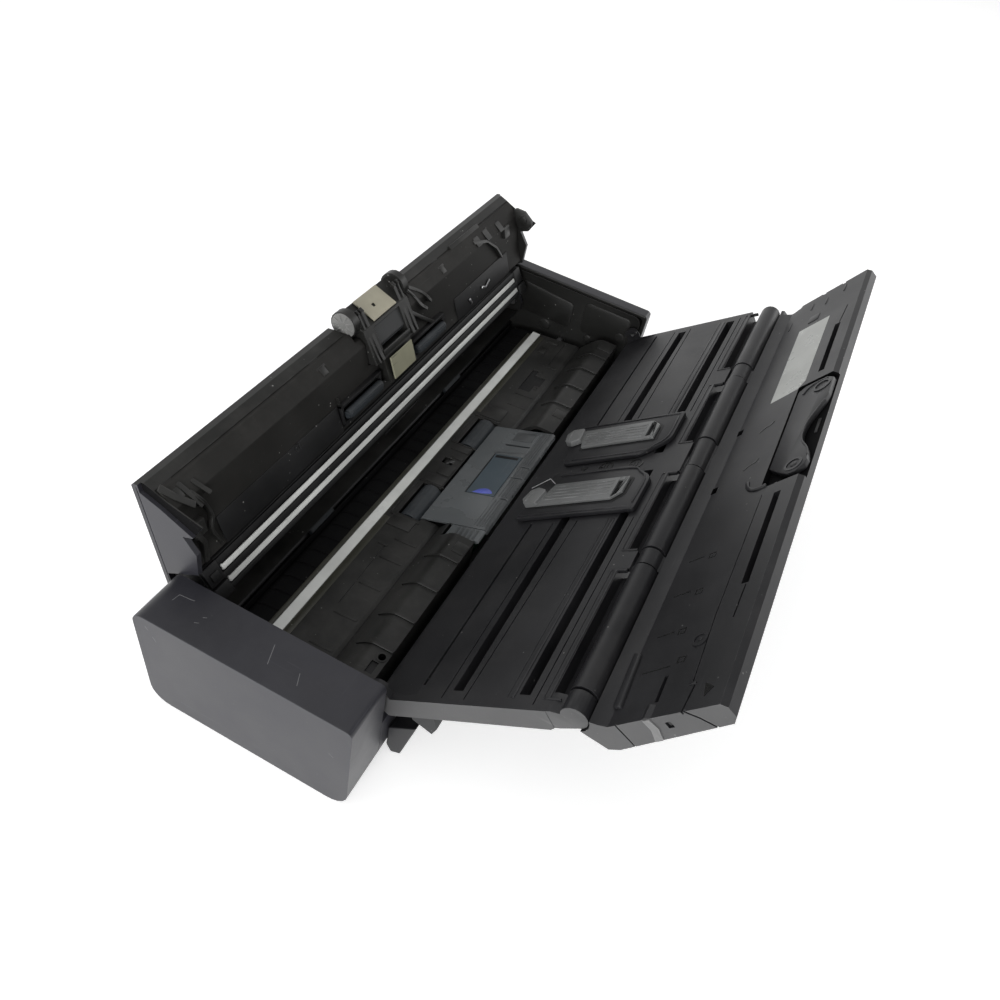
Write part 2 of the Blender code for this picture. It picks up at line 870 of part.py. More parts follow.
# Points along the cover's side view, as shares of its depth and of its top height
cover_side_shares = (
    (0.986, 1.0), (1.0, 0.92), (1.0, 0.68), (0.969, 0.42), (0.912, 0.0), (0.815, -1.01),
    (0.727, -0.675), (0.711, -0.31), (0.585, -0.608), (0.413, -0.433), (0.312, 0.81),
    (0.208, 0.81), (0.104, 0.083), (0.073, -0.30), (0.0, -0.458), (-0.078, -0.375),
)


def cover_front(radius):
    """The cover's rounded front, from its lower lip up to its top."""
    centre = (radius - cover_lip, cover_top - radius)
    return centre, arc(centre, radius, 180, 90)


def make_cover():
    frame = axis_empty("cover_axis", tilted(cover_axis_y, cover_axis_z, cover_open_angle))
    low = middle_x - cover_half_length
    high = middle_x + cover_half_length
    radius = cover_lip * cover_radius_share
    front_arc = cover_front(radius)[1]
    outline = [(-cover_lip, -cover_wall)] + front_arc
    outline += scaled(cover_side_shares, cover_depth, cover_top)
    skin = extruded("cover_skin", [outline], low, high, finish=case_finish, parent=frame)
    inside_arc = arc(cover_front(radius)[0], radius - cover_wall, 180, 90)
    rear = cover_depth - cover_wall
    inside = [(cover_wall - cover_lip, -cover_depth)] + inside_arc
    inside += [(rear, cover_top - cover_wall), (rear, -cover_depth)]
    hollow = extruded(
        "cover_hollow", [inside], low + cover_wall, high - cover_wall, parent=frame,
        collection=cutters)
    boolean(skin, hollow)
    notch = cheek_outer + running_gap
    wide = notch * cover_notch_share
    start = cheek_out - cheek_radius - running_gap * 2
    shape = [(-notch, start), (notch, start), (wide, cover_depth + overrun), (-wide, cover_depth + overrun)]
    shape = [(middle_x + across, out) for across, out in shape]
    notch_cutter = extruded(
        "cover_notch", [shape], -cover_top, cover_top + overrun, plan_plane,
        parent=frame, collection=cutters)
    boolean(skin, notch_cutter)
    pin_hole = hinge_pin_radius + clearance
    pin_holes = rods(
        "cover_pin_holes", [(low - overrun, low + cover_wall * 2, 0, 0, pin_hole),
                            (high - cover_wall * 2, high + overrun, 0, 0, pin_hole)],
        parent=frame, collection=cutters)
    boolean(skin, pin_holes)
    button_holes = rods(
        "button_holes",
        [(cover_top - cover_wall * 2, cover_top + overrun, middle_x + offset, button_out,
          button_radius + running_gap) for offset in button_offsets],
        parent=frame, collection=cutters, turn=plan_plane)
    boolean(skin, button_holes)
    make_cover_inside(frame, low, high)
    make_cover_rollers(frame)
    make_buttons(frame)


cover_radius_share = 0.85
cover_notch_share = 1.36


def make_cover_inside(frame, low, high):
    inner_low = low + cover_wall + clearance
    inner_high = high - cover_wall - clearance
    wall = sheet_wall
    rear = cover_depth - cover_wall - clearance - wall
    top = cover_top - cover_wall - clearance
    floor = -cover_top * inner_floor_share
    ridge = -cover_top * inner_ridge_share
    rear_rise = guide_crest_height + guide_rib_height + running_gap - cover_axis_z
    path = [
        (rear + wall, top), (rear + wall, rear_rise), (rear + wall - inner_rear_run, floor),
        (pressure_out, floor * 2), (ridge_out, ridge), (ridge_out - wall, ridge + wall),
        (ridge_out - wall, top),
    ]
    plate = extruded(
        "cover_inner_plate", [thickened(path, wall)], inner_low, inner_high,
        finish=inner_finish, parent=frame)
    gap = running_gap
    half = cheek_inner + gap
    narrow = pickup_half_width + wall + gap
    front = pickup_out - pickup_radius - wall
    pickup_spans = (
        (middle_x - half, middle_x + half, front, cover_depth + overrun, -cover_top, cover_top),
        (middle_x - narrow, middle_x + narrow, pickup_foot_out - gap, front + wall, -cover_top, top - wall),
        (middle_x - cheek_outer - gap, middle_x + cheek_outer + gap,
         cheek_out - cheek_radius - gap, cover_depth + overrun * 2, -cover_top, cover_top + wall),
    )
    for index, span in enumerate(pickup_spans):
        boolean(plate, boxes(f"pickup_opening_{index}", [span], parent=frame, collection=cutters))
    spans = []
    for side in (-1, 1):
        centre = middle_x + side * roller_offset
        reach = pressure_length / 2 + gap
        spans.append((
            centre - reach, centre + reach, pressure_out - pressure_radius - gap,
            pressure_out + pressure_radius + gap, -cover_top, top - wall))
    windows = boxes("inner_windows", spans, parent=frame, collection=cutters)
    boolean(plate, windows)

    along = Vector((upper_strip_out - lower_strip_out, upper_strip_drop - lower_strip_drop))
    face = along.normalized()
    away = Vector((face.y, -face.x))
    first = Vector((upper_strip_out, upper_strip_drop))
    second = Vector((lower_strip_out, lower_strip_drop))
    module_rear = ridge_out - wall * 2 - clearance * 2
    module_front = lower_strip_out - upper_strip_width
    slope = face.y / face.x
    outline = [
        (module_rear, top), (module_front, top),
        (module_front, lower_strip_drop + (module_front - lower_strip_out) * slope),
        (module_rear, lower_strip_drop + (module_rear - lower_strip_out) * slope),
    ]
    extruded("upper_sensor_module", [outline], inner_low, inner_high, finish=module_finish, parent=frame)
    strip_low = middle_x - path_half_length
    strip_high = middle_x + path_half_length
    for name, centre, width in (
        ("upper_scan_strip", first, upper_strip_width),
        ("upper_reference_strip", second, lower_strip_width),
    ):
        base = centre + away * clearance
        corners = [
            base - face * width / 2, base + face * width / 2,
            base + face * width / 2 + away * strip_thickness,
            base - face * width / 2 + away * strip_thickness,
        ]
        soft = strip_thickness / 2
        shape = rounded([tuple(corner) for corner in corners], [0, 0, soft, soft], 3)
        extruded(name, [shape], strip_low, strip_high, finish=strip_finish, parent=frame)


inner_rear_run = 0.0056
inner_floor_share = 0.12
inner_ridge_share = 0.38
ridge_out = 0.0254
upper_strip_out = 0.0180
upper_strip_drop = -0.0034
upper_strip_width = 0.0040
lower_strip_out = 0.0129
lower_strip_drop = -0.0055
lower_strip_width = 0.0029


def make_cover_rollers(frame):
    for side, end in ((1, "near"), (-1, "far")):
        pivot = axis_empty(
            f"pressure_{end}_axis", Matrix.Translation((0, pressure_out, -pressure_drop)), frame)
        centre = middle_x + side * roller_offset
        rods(
            f"pressure_roller_{end}",
            [(centre - pressure_length / 2, centre + pressure_length / 2, 0, 0, pressure_radius)],
            roller_rubber, pivot)

    # The pickup unit: a block that carries the roller, between two round cheeks
    slope = math.tan(separation_angle)
    top = cover_top - cover_wall - clearance
    face_top = (cheek_out + cheek_radius * pickup_lean_share, top)
    face_foot = (cheek_out - cheek_radius * pickup_lean_share, -cover_top * pickup_foot_share)
    throat = (pickup_out - pickup_radius, face_foot[1] - (face_foot[0] - pickup_out + pickup_radius) * slope)
    foot = (pickup_foot_out, throat[1] - (throat[0] - pickup_foot_out) * slope * foot_slope_share)
    block = [face_top, (throat[0] - sheet_wall / 2, top), (throat[0] - sheet_wall / 2, throat[1]), face_foot]
    housing = extruded(
        "pickup_housing", [block], middle_x - cheek_inner, middle_x + cheek_inner,
        finish=inner_finish, parent=frame)
    tongue = [(throat[0] + sheet_wall, top - sheet_wall * 2), (pickup_foot_out, foot[1] + sheet_wall * 2),
              foot, (throat[0] + sheet_wall, throat[1] + sheet_wall)]
    reach = pickup_half_width + sheet_wall
    joined(housing, extruded(
        "pickup_tongue", [tongue], middle_x - reach, middle_x + reach, parent=frame, collection=cutters))
    cheeks = rods(
        "pickup_cheeks",
        [(middle_x - cheek_outer, middle_x - cheek_inner + clearance, cheek_out, cheek_rise, cheek_radius),
         (middle_x + cheek_inner - clearance, middle_x + cheek_outer, cheek_out, cheek_rise, cheek_radius)],
        parent=frame, collection=cutters)
    joined(housing, cheeks)
    bore = pickup_radius + running_gap
    roller_reach = pickup_half_width + running_gap
    well = rods(
        "pickup_well",
        [(middle_x - roller_reach, middle_x + roller_reach, pickup_out, pickup_rise, bore)],
        parent=frame, collection=cutters)
    boolean(housing, well)
    mouth = boxes("pickup_mouth", [(
        middle_x - roller_reach - clearance, middle_x + roller_reach + clearance,
        pickup_out - bore + clearance, pickup_out + bore - clearance,
        -cover_top, pickup_rise)], parent=frame, collection=cutters)
    boolean(housing, mouth)
    pivot = axis_empty("pickup_axis", Matrix.Translation((0, pickup_out, pickup_rise)), frame)
    shaft_reach = pickup_half_width + sheet_wall
    shaft_hole = rods(
        "pickup_shaft_hole",
        [(middle_x - shaft_reach - clearance, middle_x + shaft_reach + clearance, pickup_out,
          pickup_rise, pickup_shaft_radius + clearance)], parent=frame, collection=cutters)
    boolean(housing, shaft_hole)
    roller = rods(
        "pickup_roller",
        [(middle_x - pickup_half_width, middle_x + pickup_half_width, 0, 0, pickup_radius)],
        roller_rubber, pivot)
    spindle = rods(
        "pickup_spindle", [(middle_x - shaft_reach, middle_x + shaft_reach, 0, 0, pickup_shaft_radius)],
        parent=pivot, collection=cutters)
    joined(roller, spindle)
    make_pickup_plates(frame, face_top, face_foot, foot, throat)


pickup_lean_share = 0.53
pickup_foot_share = 0.075
foot_slope_share = 0.45


def on_face(start, end, low_share, high_share, gap, thickness):
    """A thin plate's outline, lying on the line from start to end on its right-hand side."""
    first = Vector(start)
    line = Vector(end) - first
    side = Vector((line.y, -line.x)).normalized()
    near = first + line * low_share + side * gap
    far = first + line * high_share + side * gap
    return [tuple(near), tuple(far), tuple(far + side * thickness), tuple(near + side * thickness)]


def make_pickup_plates(frame, face_top, face_foot, foot, throat):
    plate = on_face(face_foot, face_top, *plate_shares, clearance, plate_thickness)
    half = pickup_half_width * plate_width_share
    extruded("pickup_plate", [plate], middle_x - half, middle_x + half, finish=beige_finish, parent=frame)
    pad = on_face(foot, throat, *pad_shares, clearance, plate_thickness)
    extruded("pickup_pad", [pad], middle_x - half, middle_x + half, finish=beige_finish, parent=frame)


plate_thickness = 0.0008
plate_width_share = 0.94
plate_shares = (0.04, 0.98)
pad_shares = (0.05, 0.85)


def make_buttons(frame):
    for name, offset in zip(("power_button", "start_button"), button_offsets):
        pivot = axis_empty(
            name + "_axis", Matrix.Translation((middle_x + offset, button_out, cover_top)), frame)
        cap_low = -cover_wall - clearance
        cap = rods(
            name, [(cap_low, button_proud, 0, 0, button_radius)], button_finish, pivot,
            turn=plan_plane)
        flange = rods(
            name + "_flange",
            [(cap_low - button_flange, cap_low, 0, 0, button_radius + button_flange)],
            parent=pivot, collection=cutters, turn=plan_plane)
        joined(cap, flange)


def barrel_outline():
    """One hinge barrel of the tray and the web under the groove that carries it."""
    centre = (flap_axis_out, -flap_axis_drop)
    web_top = -flap_axis_drop - barrel_radius * web_rise_share
    web_start = tray_outer_edge - slot_width
    turn = math.degrees(math.asin(web_rise_share))
    points = [(web_start, -flap_axis_drop - barrel_radius)]
    points += arc(centre, barrel_radius, -90, 180 + turn, 14)
    return points + [(web_start, web_top)]


web_rise_share = 0.44


def make_tray():
    frame = axis_empty("tray_axis", tilted(tray_axis_y, tray_axis_z, tray_angle))
    face = -tray_face_drop
    back = face - tray_thickness
    low = middle_x - tray_half_length
    high = middle_x + tray_half_length
    nose = tray_thickness * tray_nose_share
    outline = [
        (tray_inner_edge, face - nose), (tray_inner_edge + nose, face), (tray_outer_edge, face),
        (tray_outer_edge, back + nose / 2), (tray_outer_edge - nose, back),
        (tray_inner_edge + nose * 2, back),
    ]
    tray = extruded("feed_tray", [outline], low, high, finish=tray_finish, parent=frame)
    for index, (inner, outer) in enumerate(zip(barrel_inner_ends, barrel_outer_ends)):
        ends = sorted((middle_x + inner, middle_x + outer))
        joined(tray, extruded(
            f"barrel_{index}", [barrel_outline()], *ends, parent=frame, collection=cutters))
    tab_end = flap_axis_out - barrel_radius - running_gap
    tab_low = face - flap_axis_drop * tab_thickness_share
    tabs = []
    for first, second in tab_spans():
        tabs.append((first, second, tray_outer_edge - slot_width, tab_end, tab_low, face))
    joined(tray, boxes("hinge_tabs", tabs, parent=frame, collection=cutters))
    rod_hole = hinge_rod_radius + clearance
    boolean(tray, rods(
        "hinge_rod_hole",
        [(low - overrun, high + overrun, flap_axis_out, -flap_axis_drop, rod_hole)],
        parent=frame, collection=cutters))
    cuts = []
    for side in (-1, 1):
        ends = sorted((middle_x + side * slot_inner_end, middle_x + side * slot_outer_end))
        for out in (inner_slot_out, outer_slot_out):
            cuts.append((
                *ends, out - slot_width / 2, out + slot_width / 2, face - slot_depth,
                face + overrun))
    boolean(tray, boxes("guide_slots", cuts, parent=frame, collection=cutters))
    make_tray_hinge(tray, frame, low, high)
    rods(
        "flap_hinge_rod",
        [(low + cover_wall, high - cover_wall, flap_axis_out, -flap_axis_drop, hinge_rod_radius)],
        metal, frame)
    make_flap(frame)
    make_guides(frame)


tray_nose_share = 0.2
tab_thickness_share = 0.3


def tab_spans():
    """The gaps between the tray's hinge barrels, drawn in by a running gap."""
    gaps = (
        (barrel_outer_ends[0], barrel_inner_ends[1]),
        (barrel_inner_ends[2], barrel_inner_ends[0]),
        (barrel_inner_ends[3], barrel_outer_ends[2]),
    )
    return [(middle_x + low, middle_x + high) for low, high in gaps]


def make_tray_hinge(tray, frame, low, high):
    """Knuckles round the hinge pins and the lugs under the tray."""
    knuckle = tray_pin_radius + tray_knuckle_wall
    base = -tray_face_drop - tray_thickness / 2
    outline = [(knuckle, base), (knuckle, 0)] + arc((0, 0), knuckle, 0, 180, 8) + [(-knuckle, base)]
    reach = hinge_pin_inset
    for index, (start, end) in enumerate(((low, low + reach), (high - reach, high))):
        joined(tray, extruded(
            f"tray_knuckle_{index}", [outline], start, end, parent=frame, collection=cutters))
    pin_hole = tray_pin_radius + clearance
    boolean(tray, rods(
        "tray_pin_holes", [(low - overrun, low + reach * 2, 0, 0, pin_hole),
                           (high - reach * 2, high + overrun, 0, 0, pin_hole)],
        parent=frame, collection=cutters))
    lug = scaled(lug_shares, tray_thickness, tray_thickness)
    for index, side in enumerate((-1, 1)):
        centre = middle_x + side * bracket_offset
        joined(tray, extruded(
            f"tray_lug_{index}", [lug], centre - lug_width / 2, centre + lug_width / 2,
            parent=frame, collection=cutters))


lug_shares = ((0.7, -1.1), (1.9, -1.1), (1.5, -2.5), (1.0, -2.85), (0.45, -2.0))


def make_flap(tray_frame):
    frame = axis_empty(
        "flap_axis", tilted(flap_axis_out, -flap_axis_drop, flap_angle), tray_frame)
    face = -flap_face_drop
    back = face - flap_thickness
    wrap = barrel_radius + running_gap
    lip = flap_thickness * flap_lip_share
    brow, shoulder, heel = (wrap * share for share in flap_root_shares)
    outline = arc((0, 0), wrap, -107, -24, 8)
    outline += [(brow, face * flap_brow_share), (shoulder, face), (flap_depth, face),
                (flap_depth, back + lip), (flap_depth - lip, back),
                (brow, back - lip), (heel, back - lip / 2)]
    low = middle_x - flap_half_length
    high = middle_x + flap_half_length
    flap = extruded("tray_flap", [outline], low, high, finish=tray_finish, parent=frame)
    ear_radius = barrel_radius - clearance
    ear = arc((0, 0), ear_radius, -20, 250, 14) + scaled(flap_ear_shares, wrap, wrap)
    for index, (start, end) in enumerate(tab_spans()):
        joined(flap, extruded(
            f"flap_ear_{index}", [ear], start + running_gap * 2, end - running_gap * 2,
            parent=frame, collection=cutters))
    boolean(flap, rods(
        "flap_rod_hole", [(low - overrun, high + overrun, 0, 0, hinge_rod_radius + clearance)],
        parent=frame, collection=cutters))
    recess_floor = face - arm_recess_depth
    arm_low = middle_x + arm_pivot_offset - arm_reach - running_gap * 3
    arm_high = middle_x + arm_pivot_offset + arm_width * arm_end_share
    arm_inner = flap_depth - arm_width - running_gap
    slot_spans = (
        (arm_high + flap_slot_gap, low + (high - low) * flap_slot_share),
        (high - (high - low) * flap_slot_share, arm_low - flap_slot_gap),
    )
    cuts = [(
        *ends, flap_slot_out - flap_slot_width / 2, flap_slot_out + flap_slot_width / 2,
        face - flap_slot_depth, face + overrun,
    ) for ends in slot_spans]
    boolean(flap, boxes("flap_slots", cuts, parent=frame, collection=cutters))
    recess = (arm_low, arm_high, arm_inner, flap_depth + overrun, recess_floor, face + overrun)
    boolean(flap, boxes("arm_recess", [recess], parent=frame, collection=cutters))
    make_support_arm(frame, face, recess_floor)


flap_lip_share = 0.28
flap_brow_share = 0.7
flap_root_shares = (1.3, 1.85, 0.5)
flap_ear_shares = ((-0.3, -1.4), (1.3, -1.4))
flap_slot_share = 0.818
arm_end_share = 0.52


def make_support_arm(flap_frame, face, recess_floor):
    pivot_x = middle_x + arm_pivot_offset
    frame = axis_empty("arm_axis", Matrix.Translation((pivot_x, arm_pivot_out, face)), flap_frame)
    outer = flap_depth - arm_pivot_out - clearance
    inner = outer - arm_width + clearance
    nose = arm_width * arm_nose_share
    end = -arm_reach
    outline = [(0, outer)] + scaled(arm_waist_shares, end, outer)
    outline += [
        (end + nose, outer), (end, outer - nose), (end, inner + nose), (end + nose, inner),
        (-nose, inner),
    ]
    outline += arc((0, 0), outer, -60, 60, 6)
    gap = clearance
    arm = extruded(
        "support_arm", [outline], recess_floor - face + gap, recess_floor - face + gap + arm_thickness,
        plan_plane, arm_finish, frame)
    return soften(arm, arm_thickness * arm_edge_share, 1)


arm_nose_share = 0.2
arm_waist_shares = ((0.35, 1), (0.45, 0.2), (0.62, 0.2), (0.72, 1))
arm_edge_share = 0.12


def make_guides(tray_frame):
    face = -tray_face_drop + clearance
    for side, end in ((1, "near"), (-1, "far")):
        slide = axis_empty(f"guide_{end}_axis", Matrix.Identity(4), tray_frame)
        inner = middle_x + side * guide_inner
        outer = middle_x + side * guide_outer
        bend = middle_x + side * (guide_inner + guide_corner_run)
        corner = guide_end - guide_corner_rise
        shape = [(outer, guide_start), (outer, guide_end), (bend, guide_end), (inner, corner),
                 (inner, guide_start + guide_corner_run)]
        guide = extruded(
            f"side_guide_{end}", [shape], face, face + guide_plate, plan_plane, tray_finish, slide)
        stem_ends = sorted((middle_x + side * (guide_outer - slot_width - guide_stem_length),
                            middle_x + side * (guide_outer - slot_width)))
        stems = [
            (*stem_ends, out - slot_width / 2 + running_gap, out + slot_width / 2 - running_gap,
             face - slot_depth + running_gap + clearance, face + guide_plate / 2)
            for out in (inner_slot_out, outer_slot_out)
        ]
        joined(guide, boxes(f"guide_stems_{end}", stems, parent=slide, collection=cutters))
        make_fence(slide, face, side, end)


def make_fence(slide, face, side, end):
    """The edge fence, lying flat on its guide, hinged along its outer side."""
    hinge_x = middle_x + side * fence_hinge
    level = face + guide_plate + clearance + fence_thickness / 2
    pivot = axis_empty(f"fence_{end}_axis", Matrix.Translation((hinge_x, 0, level)), slide)
    reach = -side * fence_width
    slant = fence_width * fence_slant_share
    shape = [
        (0, fence_start), (reach, fence_start + slant), (reach, fence_end),
        (reach * fence_slant_share, fence_end), (0, fence_end - slant),
    ]
    fence = extruded(
        f"guide_fence_{end}", [shape], -fence_thickness / 2, fence_thickness / 2, plan_plane,
        grey_finish, pivot)
    return fence


fence_slant_share = 0.3

clear_scene()
parts = new_collection("document_scanner")
cutters = new_collection("cutters")

case_finish = material("satin dark blue grey plastic", (0.055, 0.055, 0.072), 0.42)
frame_finish = material("side frame steel", (0.45, 0.46, 0.48), 0.35, 1.0)
inner_finish = material("moulded black plastic", (0.018, 0.018, 0.019), 0.5)
module_finish = material("sensor housing", (0.012, 0.012, 0.013), 0.55)
strip_finish = material("scan strip", (0.32, 0.33, 0.31), 0.3)
grey_finish = material("separation grey", (0.09, 0.10, 0.11), 0.45)
pad_finish = material("separation pad", (0.05, 0.07, 0.085), 0.6)
beige_finish = material("beige plate", (0.33, 0.30, 0.22), 0.6)
roller_rubber = material("roller rubber", (0.015, 0.018, 0.022), 0.7)
rubber = material("foot rubber", (0.02, 0.02, 0.02), 0.85)
metal = material("plated steel", (0.55, 0.55, 0.56), 0.3, 1.0)
gear_finish = material("gear plastic", (0.62, 0.60, 0.55), 0.45)
board_finish = material("circuit board", (0.02, 0.12, 0.05), 0.5)
tray_finish = material("tray plastic", (0.022, 0.022, 0.025), 0.45)
button_finish = material("button plastic", (0.10, 0.10, 0.11), 0.4)
arm_finish = material("arm plastic", (0.03, 0.03, 0.032), 0.45)

make_end_cap("end_cap_near", inner_near, body_length / 2)
make_end_cap("end_cap_far", inner_far, -body_length / 2)
make_side_frames()
make_base_frame()
make_socket()
make_board()
make_paper_path()
make_separation()
make_roller_set(
    "drive", drive_y, drive_z, drive_shaft_radius, drive_roller_radius, roller_offset,
    roller_width, drive_teeth,
)
make_roller_set(
    "eject", eject_y, eject_z, eject_shaft_radius, eject_roller_radius, eject_roller_offset,
    eject_roller_width, eject_teeth,
)
make_gear_train()
make_hinge_pins()
make_rear_brackets()
make_cover()
make_tray()
bpy.context.view_layer.update()
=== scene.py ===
import json
import math

import bmesh
import bpy
from bpy.props import FloatProperty, FloatVectorProperty, PointerProperty
from mathutils import Matrix, Vector


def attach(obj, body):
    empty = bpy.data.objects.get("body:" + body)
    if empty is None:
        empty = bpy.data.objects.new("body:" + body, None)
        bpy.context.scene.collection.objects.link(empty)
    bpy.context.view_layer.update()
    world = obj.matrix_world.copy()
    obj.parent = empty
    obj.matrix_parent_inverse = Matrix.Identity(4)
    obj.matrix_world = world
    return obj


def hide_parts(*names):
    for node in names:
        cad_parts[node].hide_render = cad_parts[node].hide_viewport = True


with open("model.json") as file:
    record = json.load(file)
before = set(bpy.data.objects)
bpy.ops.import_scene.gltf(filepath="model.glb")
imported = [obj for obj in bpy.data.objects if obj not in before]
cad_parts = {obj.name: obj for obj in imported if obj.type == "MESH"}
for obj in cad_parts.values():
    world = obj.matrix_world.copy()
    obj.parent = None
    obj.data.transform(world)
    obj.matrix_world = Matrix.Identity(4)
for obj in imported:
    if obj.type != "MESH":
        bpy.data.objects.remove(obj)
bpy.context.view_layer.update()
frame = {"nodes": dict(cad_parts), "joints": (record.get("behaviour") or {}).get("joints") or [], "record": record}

bl_info = {
    "name": "Document scanner",
    "version": (1, 0, 0),
    "blender": (4, 5, 0),
    "location": "3D View > Sidebar > Scanner",
    "description": "Dresses the open document scanner with its pieces, finishes and stage",
    "category": "Object",
}

nodes = frame["nodes"]
joint_at = {joint["name"]: Vector(joint["pos_m"]) for joint in frame["joints"] if "pos_m" in joint}
body_of_node = {
    node: body
    for body, members in frame["record"]["behaviour"]["bodies"].items()
    for node in members
}

millimetre = 0.001
guides_middle = -6.5  # where the two side guides meet, in millimetres along the tray

# How far each panel is turned up at rest, in radians
cover_turn, tray_turn, flap_turn, plate_turn = (
    math.radians(angle) for angle in (100.2, 38.1, 56.7, 20.4))
platen_turn, sensor_turn, pickup_turn = 0.1020, 0.386, 0.973

# Where the faces without a hinge of their own lie, the last two from the cover's hinge
platen_at = (0, -0.0105, 0.0193)
sensor_at = (0, 0.0089, -0.00715)
pickup_at = (0, 0.0560, -0.0006)


def panel_frame(place, turn):
    """A panel's own axes: X along its hinge, Y out along the panel, Z up from its face."""
    return Matrix.Translation(place) @ Matrix.Rotation(turn, 4, "X")


world_frame = Matrix.Identity(4)
cover_frame = panel_frame(joint_at["cover_hinge"], cover_turn)
tray_frame = panel_frame(joint_at["tray_hinge"], tray_turn)
flap_frame = panel_frame(joint_at["flap_hinge"], flap_turn)
plate_frame = panel_frame(joint_at["separation_hinge"], plate_turn)
platen_frame = panel_frame(platen_at, platen_turn)
sensor_frame = cover_frame @ panel_frame(sensor_at, sensor_turn)
pickup_face = cover_frame @ panel_frame(pickup_at, pickup_turn)
side_view = Matrix(((0, 0, 1, 0), (1, 0, 0, 0), (0, 1, 0, 0), (0, 0, 0, 1)))
plan_view = Matrix.Identity(4)


# Shapes

def slab(shape, outline, low, high, view=plan_view, edge=0.0, segments=2):
    """Run a flat outline from low to high, with its edges rounded."""
    corners = [shape.verts.new((across, along, low)) for across, along in outline]
    face = shape.faces.new(corners)
    drawn = bmesh.ops.extrude_face_region(shape, geom=[face])["geom"]
    raised = [item for item in drawn if isinstance(item, bmesh.types.BMVert)]
    bmesh.ops.translate(shape, vec=(0, 0, high - low), verts=raised)
    made = set(corners + raised)
    faces = {found for vert in made for found in vert.link_faces}
    bmesh.ops.recalc_face_normals(shape, faces=list(faces))
    if edge:
        edges = list({found for vert in made for found in vert.link_edges})
        bevelled = bmesh.ops.bevel(
            shape, geom=edges, offset=edge, offset_type="OFFSET", segments=segments,
            profile=0.5, affect="EDGES", clamp_overlap=True, material=-1,
        )
        made = {vert for vert in made if vert.is_valid} | set(bevelled["verts"])
    bmesh.ops.transform(shape, matrix=view, verts=list(made))


def block(shape, x, y, z, edge=0.0, segments=2):
    """A box from pairs of lows and highs, with rounded edges."""
    outline = [(x[0], y[0]), (x[1], y[0]), (x[1], y[1]), (x[0], y[1])]
    slab(shape, outline, z[0], z[1], edge=edge, segments=segments)


def rod(shape, start, end, radius, end_radius=None, steps=24, edge=0.0):
    """A straight round bar between two points."""
    line = Vector(end) - Vector(start)
    turn = line.to_track_quat("Z", "Y").to_matrix().to_4x4()
    matrix = Matrix.Translation((Vector(start) + Vector(end)) / 2) @ turn
    made = bmesh.ops.create_cone(
        shape, cap_ends=True, segments=steps, radius1=radius,
        radius2=radius if end_radius is None else end_radius, depth=line.length, matrix=matrix,
    )["verts"]
    if edge:
        rims = {
            found for vert in made for found in vert.link_edges
            if any(len(face.verts) > 4 for face in found.link_faces)
        }
        bmesh.ops.bevel(
            shape, geom=list(rims), offset=edge, offset_type="OFFSET", segments=2,
            profile=0.5, affect="EDGES", clamp_overlap=True, material=-1,
        )


def corner_arc(corner, before, after, radius, steps=5):
    """Points that round one corner of an outline."""
    first = (before - corner).normalized()
    second = (after - corner).normalized()
    half = first.angle(second) / 2
    centre = corner + (first + second).normalized() * radius / math.sin(half)
    start = (corner + first * radius / math.tan(half) - centre).normalized()
    end = (corner + second * radius / math.tan(half) - centre).normalized()
    return [centre + start.slerp(end, step / steps) * radius for step in range(steps + 1)]


def rounded(points, radius):
    """An outline with its corners rounded, by one radius or one for each corner."""
    corners = [Vector(point) for point in points]
    radii = radius if isinstance(radius, (list, tuple)) else [radius] * len(corners)
    result = []
    for index, (corner, size) in enumerate(zip(corners, radii)):
        if size:
            following = corners[(index + 1) % len(corners)]
            result += corner_arc(corner, corners[index - 1], following, size)
        else:
            result.append(corner)
    return [tuple(point) for point in result]


def trail(points, width):
    """The outline of a band that follows a line of points."""
    line = [Vector(point) for point in points]
    left, right = [], []
    for index, point in enumerate(line):
        ahead = line[min(index + 1, len(line) - 1)] - line[max(index - 1, 0)]
        side = Vector((-ahead.y, ahead.x)).normalized() * width / 2
        left.append(tuple(point + side))
        right.append(tuple(point - side))
    return left + right[::-1]


def bend(points, steps=6):
    """A smooth line through a few points."""
    line = [Vector(point) for point in points]
    line = [line[0] * 2 - line[1]] + line + [line[-1] * 2 - line[-2]]
    result = []
    for index in range(1, len(line) - 2):
        before, start, end, after = line[index - 1:index + 3]
        for step in range(steps):
            t = step / steps
            result.append(tuple(0.5 * (
                start * 2 + (end - before) * t + (before * 2 - start * 5 + end * 4 - after) * t ** 2
                + (start * 3 - before - end * 3 + after) * t ** 3)))
    return result + [tuple(line[-2])]


def circle(across, along, radius, steps=20):
    angles = [2 * math.pi * step / steps for step in range(steps)]
    return [(across + radius * math.cos(a), along + radius * math.sin(a)) for a in angles]


def hoop(shape, across, along, outer, inner, low, high, steps=20):
    """A flat ring standing on a panel."""
    rings = []
    for radius in (outer, inner):
        made = bmesh.ops.create_circle(
            shape, segments=steps, radius=radius,
            matrix=Matrix.Translation((across, along, low)))["verts"]
        rings += {edge for vert in made for edge in vert.link_edges}
    faces = bmesh.ops.bridge_loops(shape, edges=rings)["faces"]
    drawn = bmesh.ops.extrude_face_region(shape, geom=faces)["geom"]
    raised = [item for item in drawn if isinstance(item, bmesh.types.BMVert)]
    bmesh.ops.translate(shape, vec=(0, 0, high - low), verts=raised)
    around = {face for vert in raised for face in vert.link_faces} | set(faces)
    bmesh.ops.recalc_face_normals(shape, faces=list(around))


def link(name, mesh):
    piece = bpy.data.objects.new(name, mesh)
    bpy.context.scene.collection.objects.link(piece)
    return piece


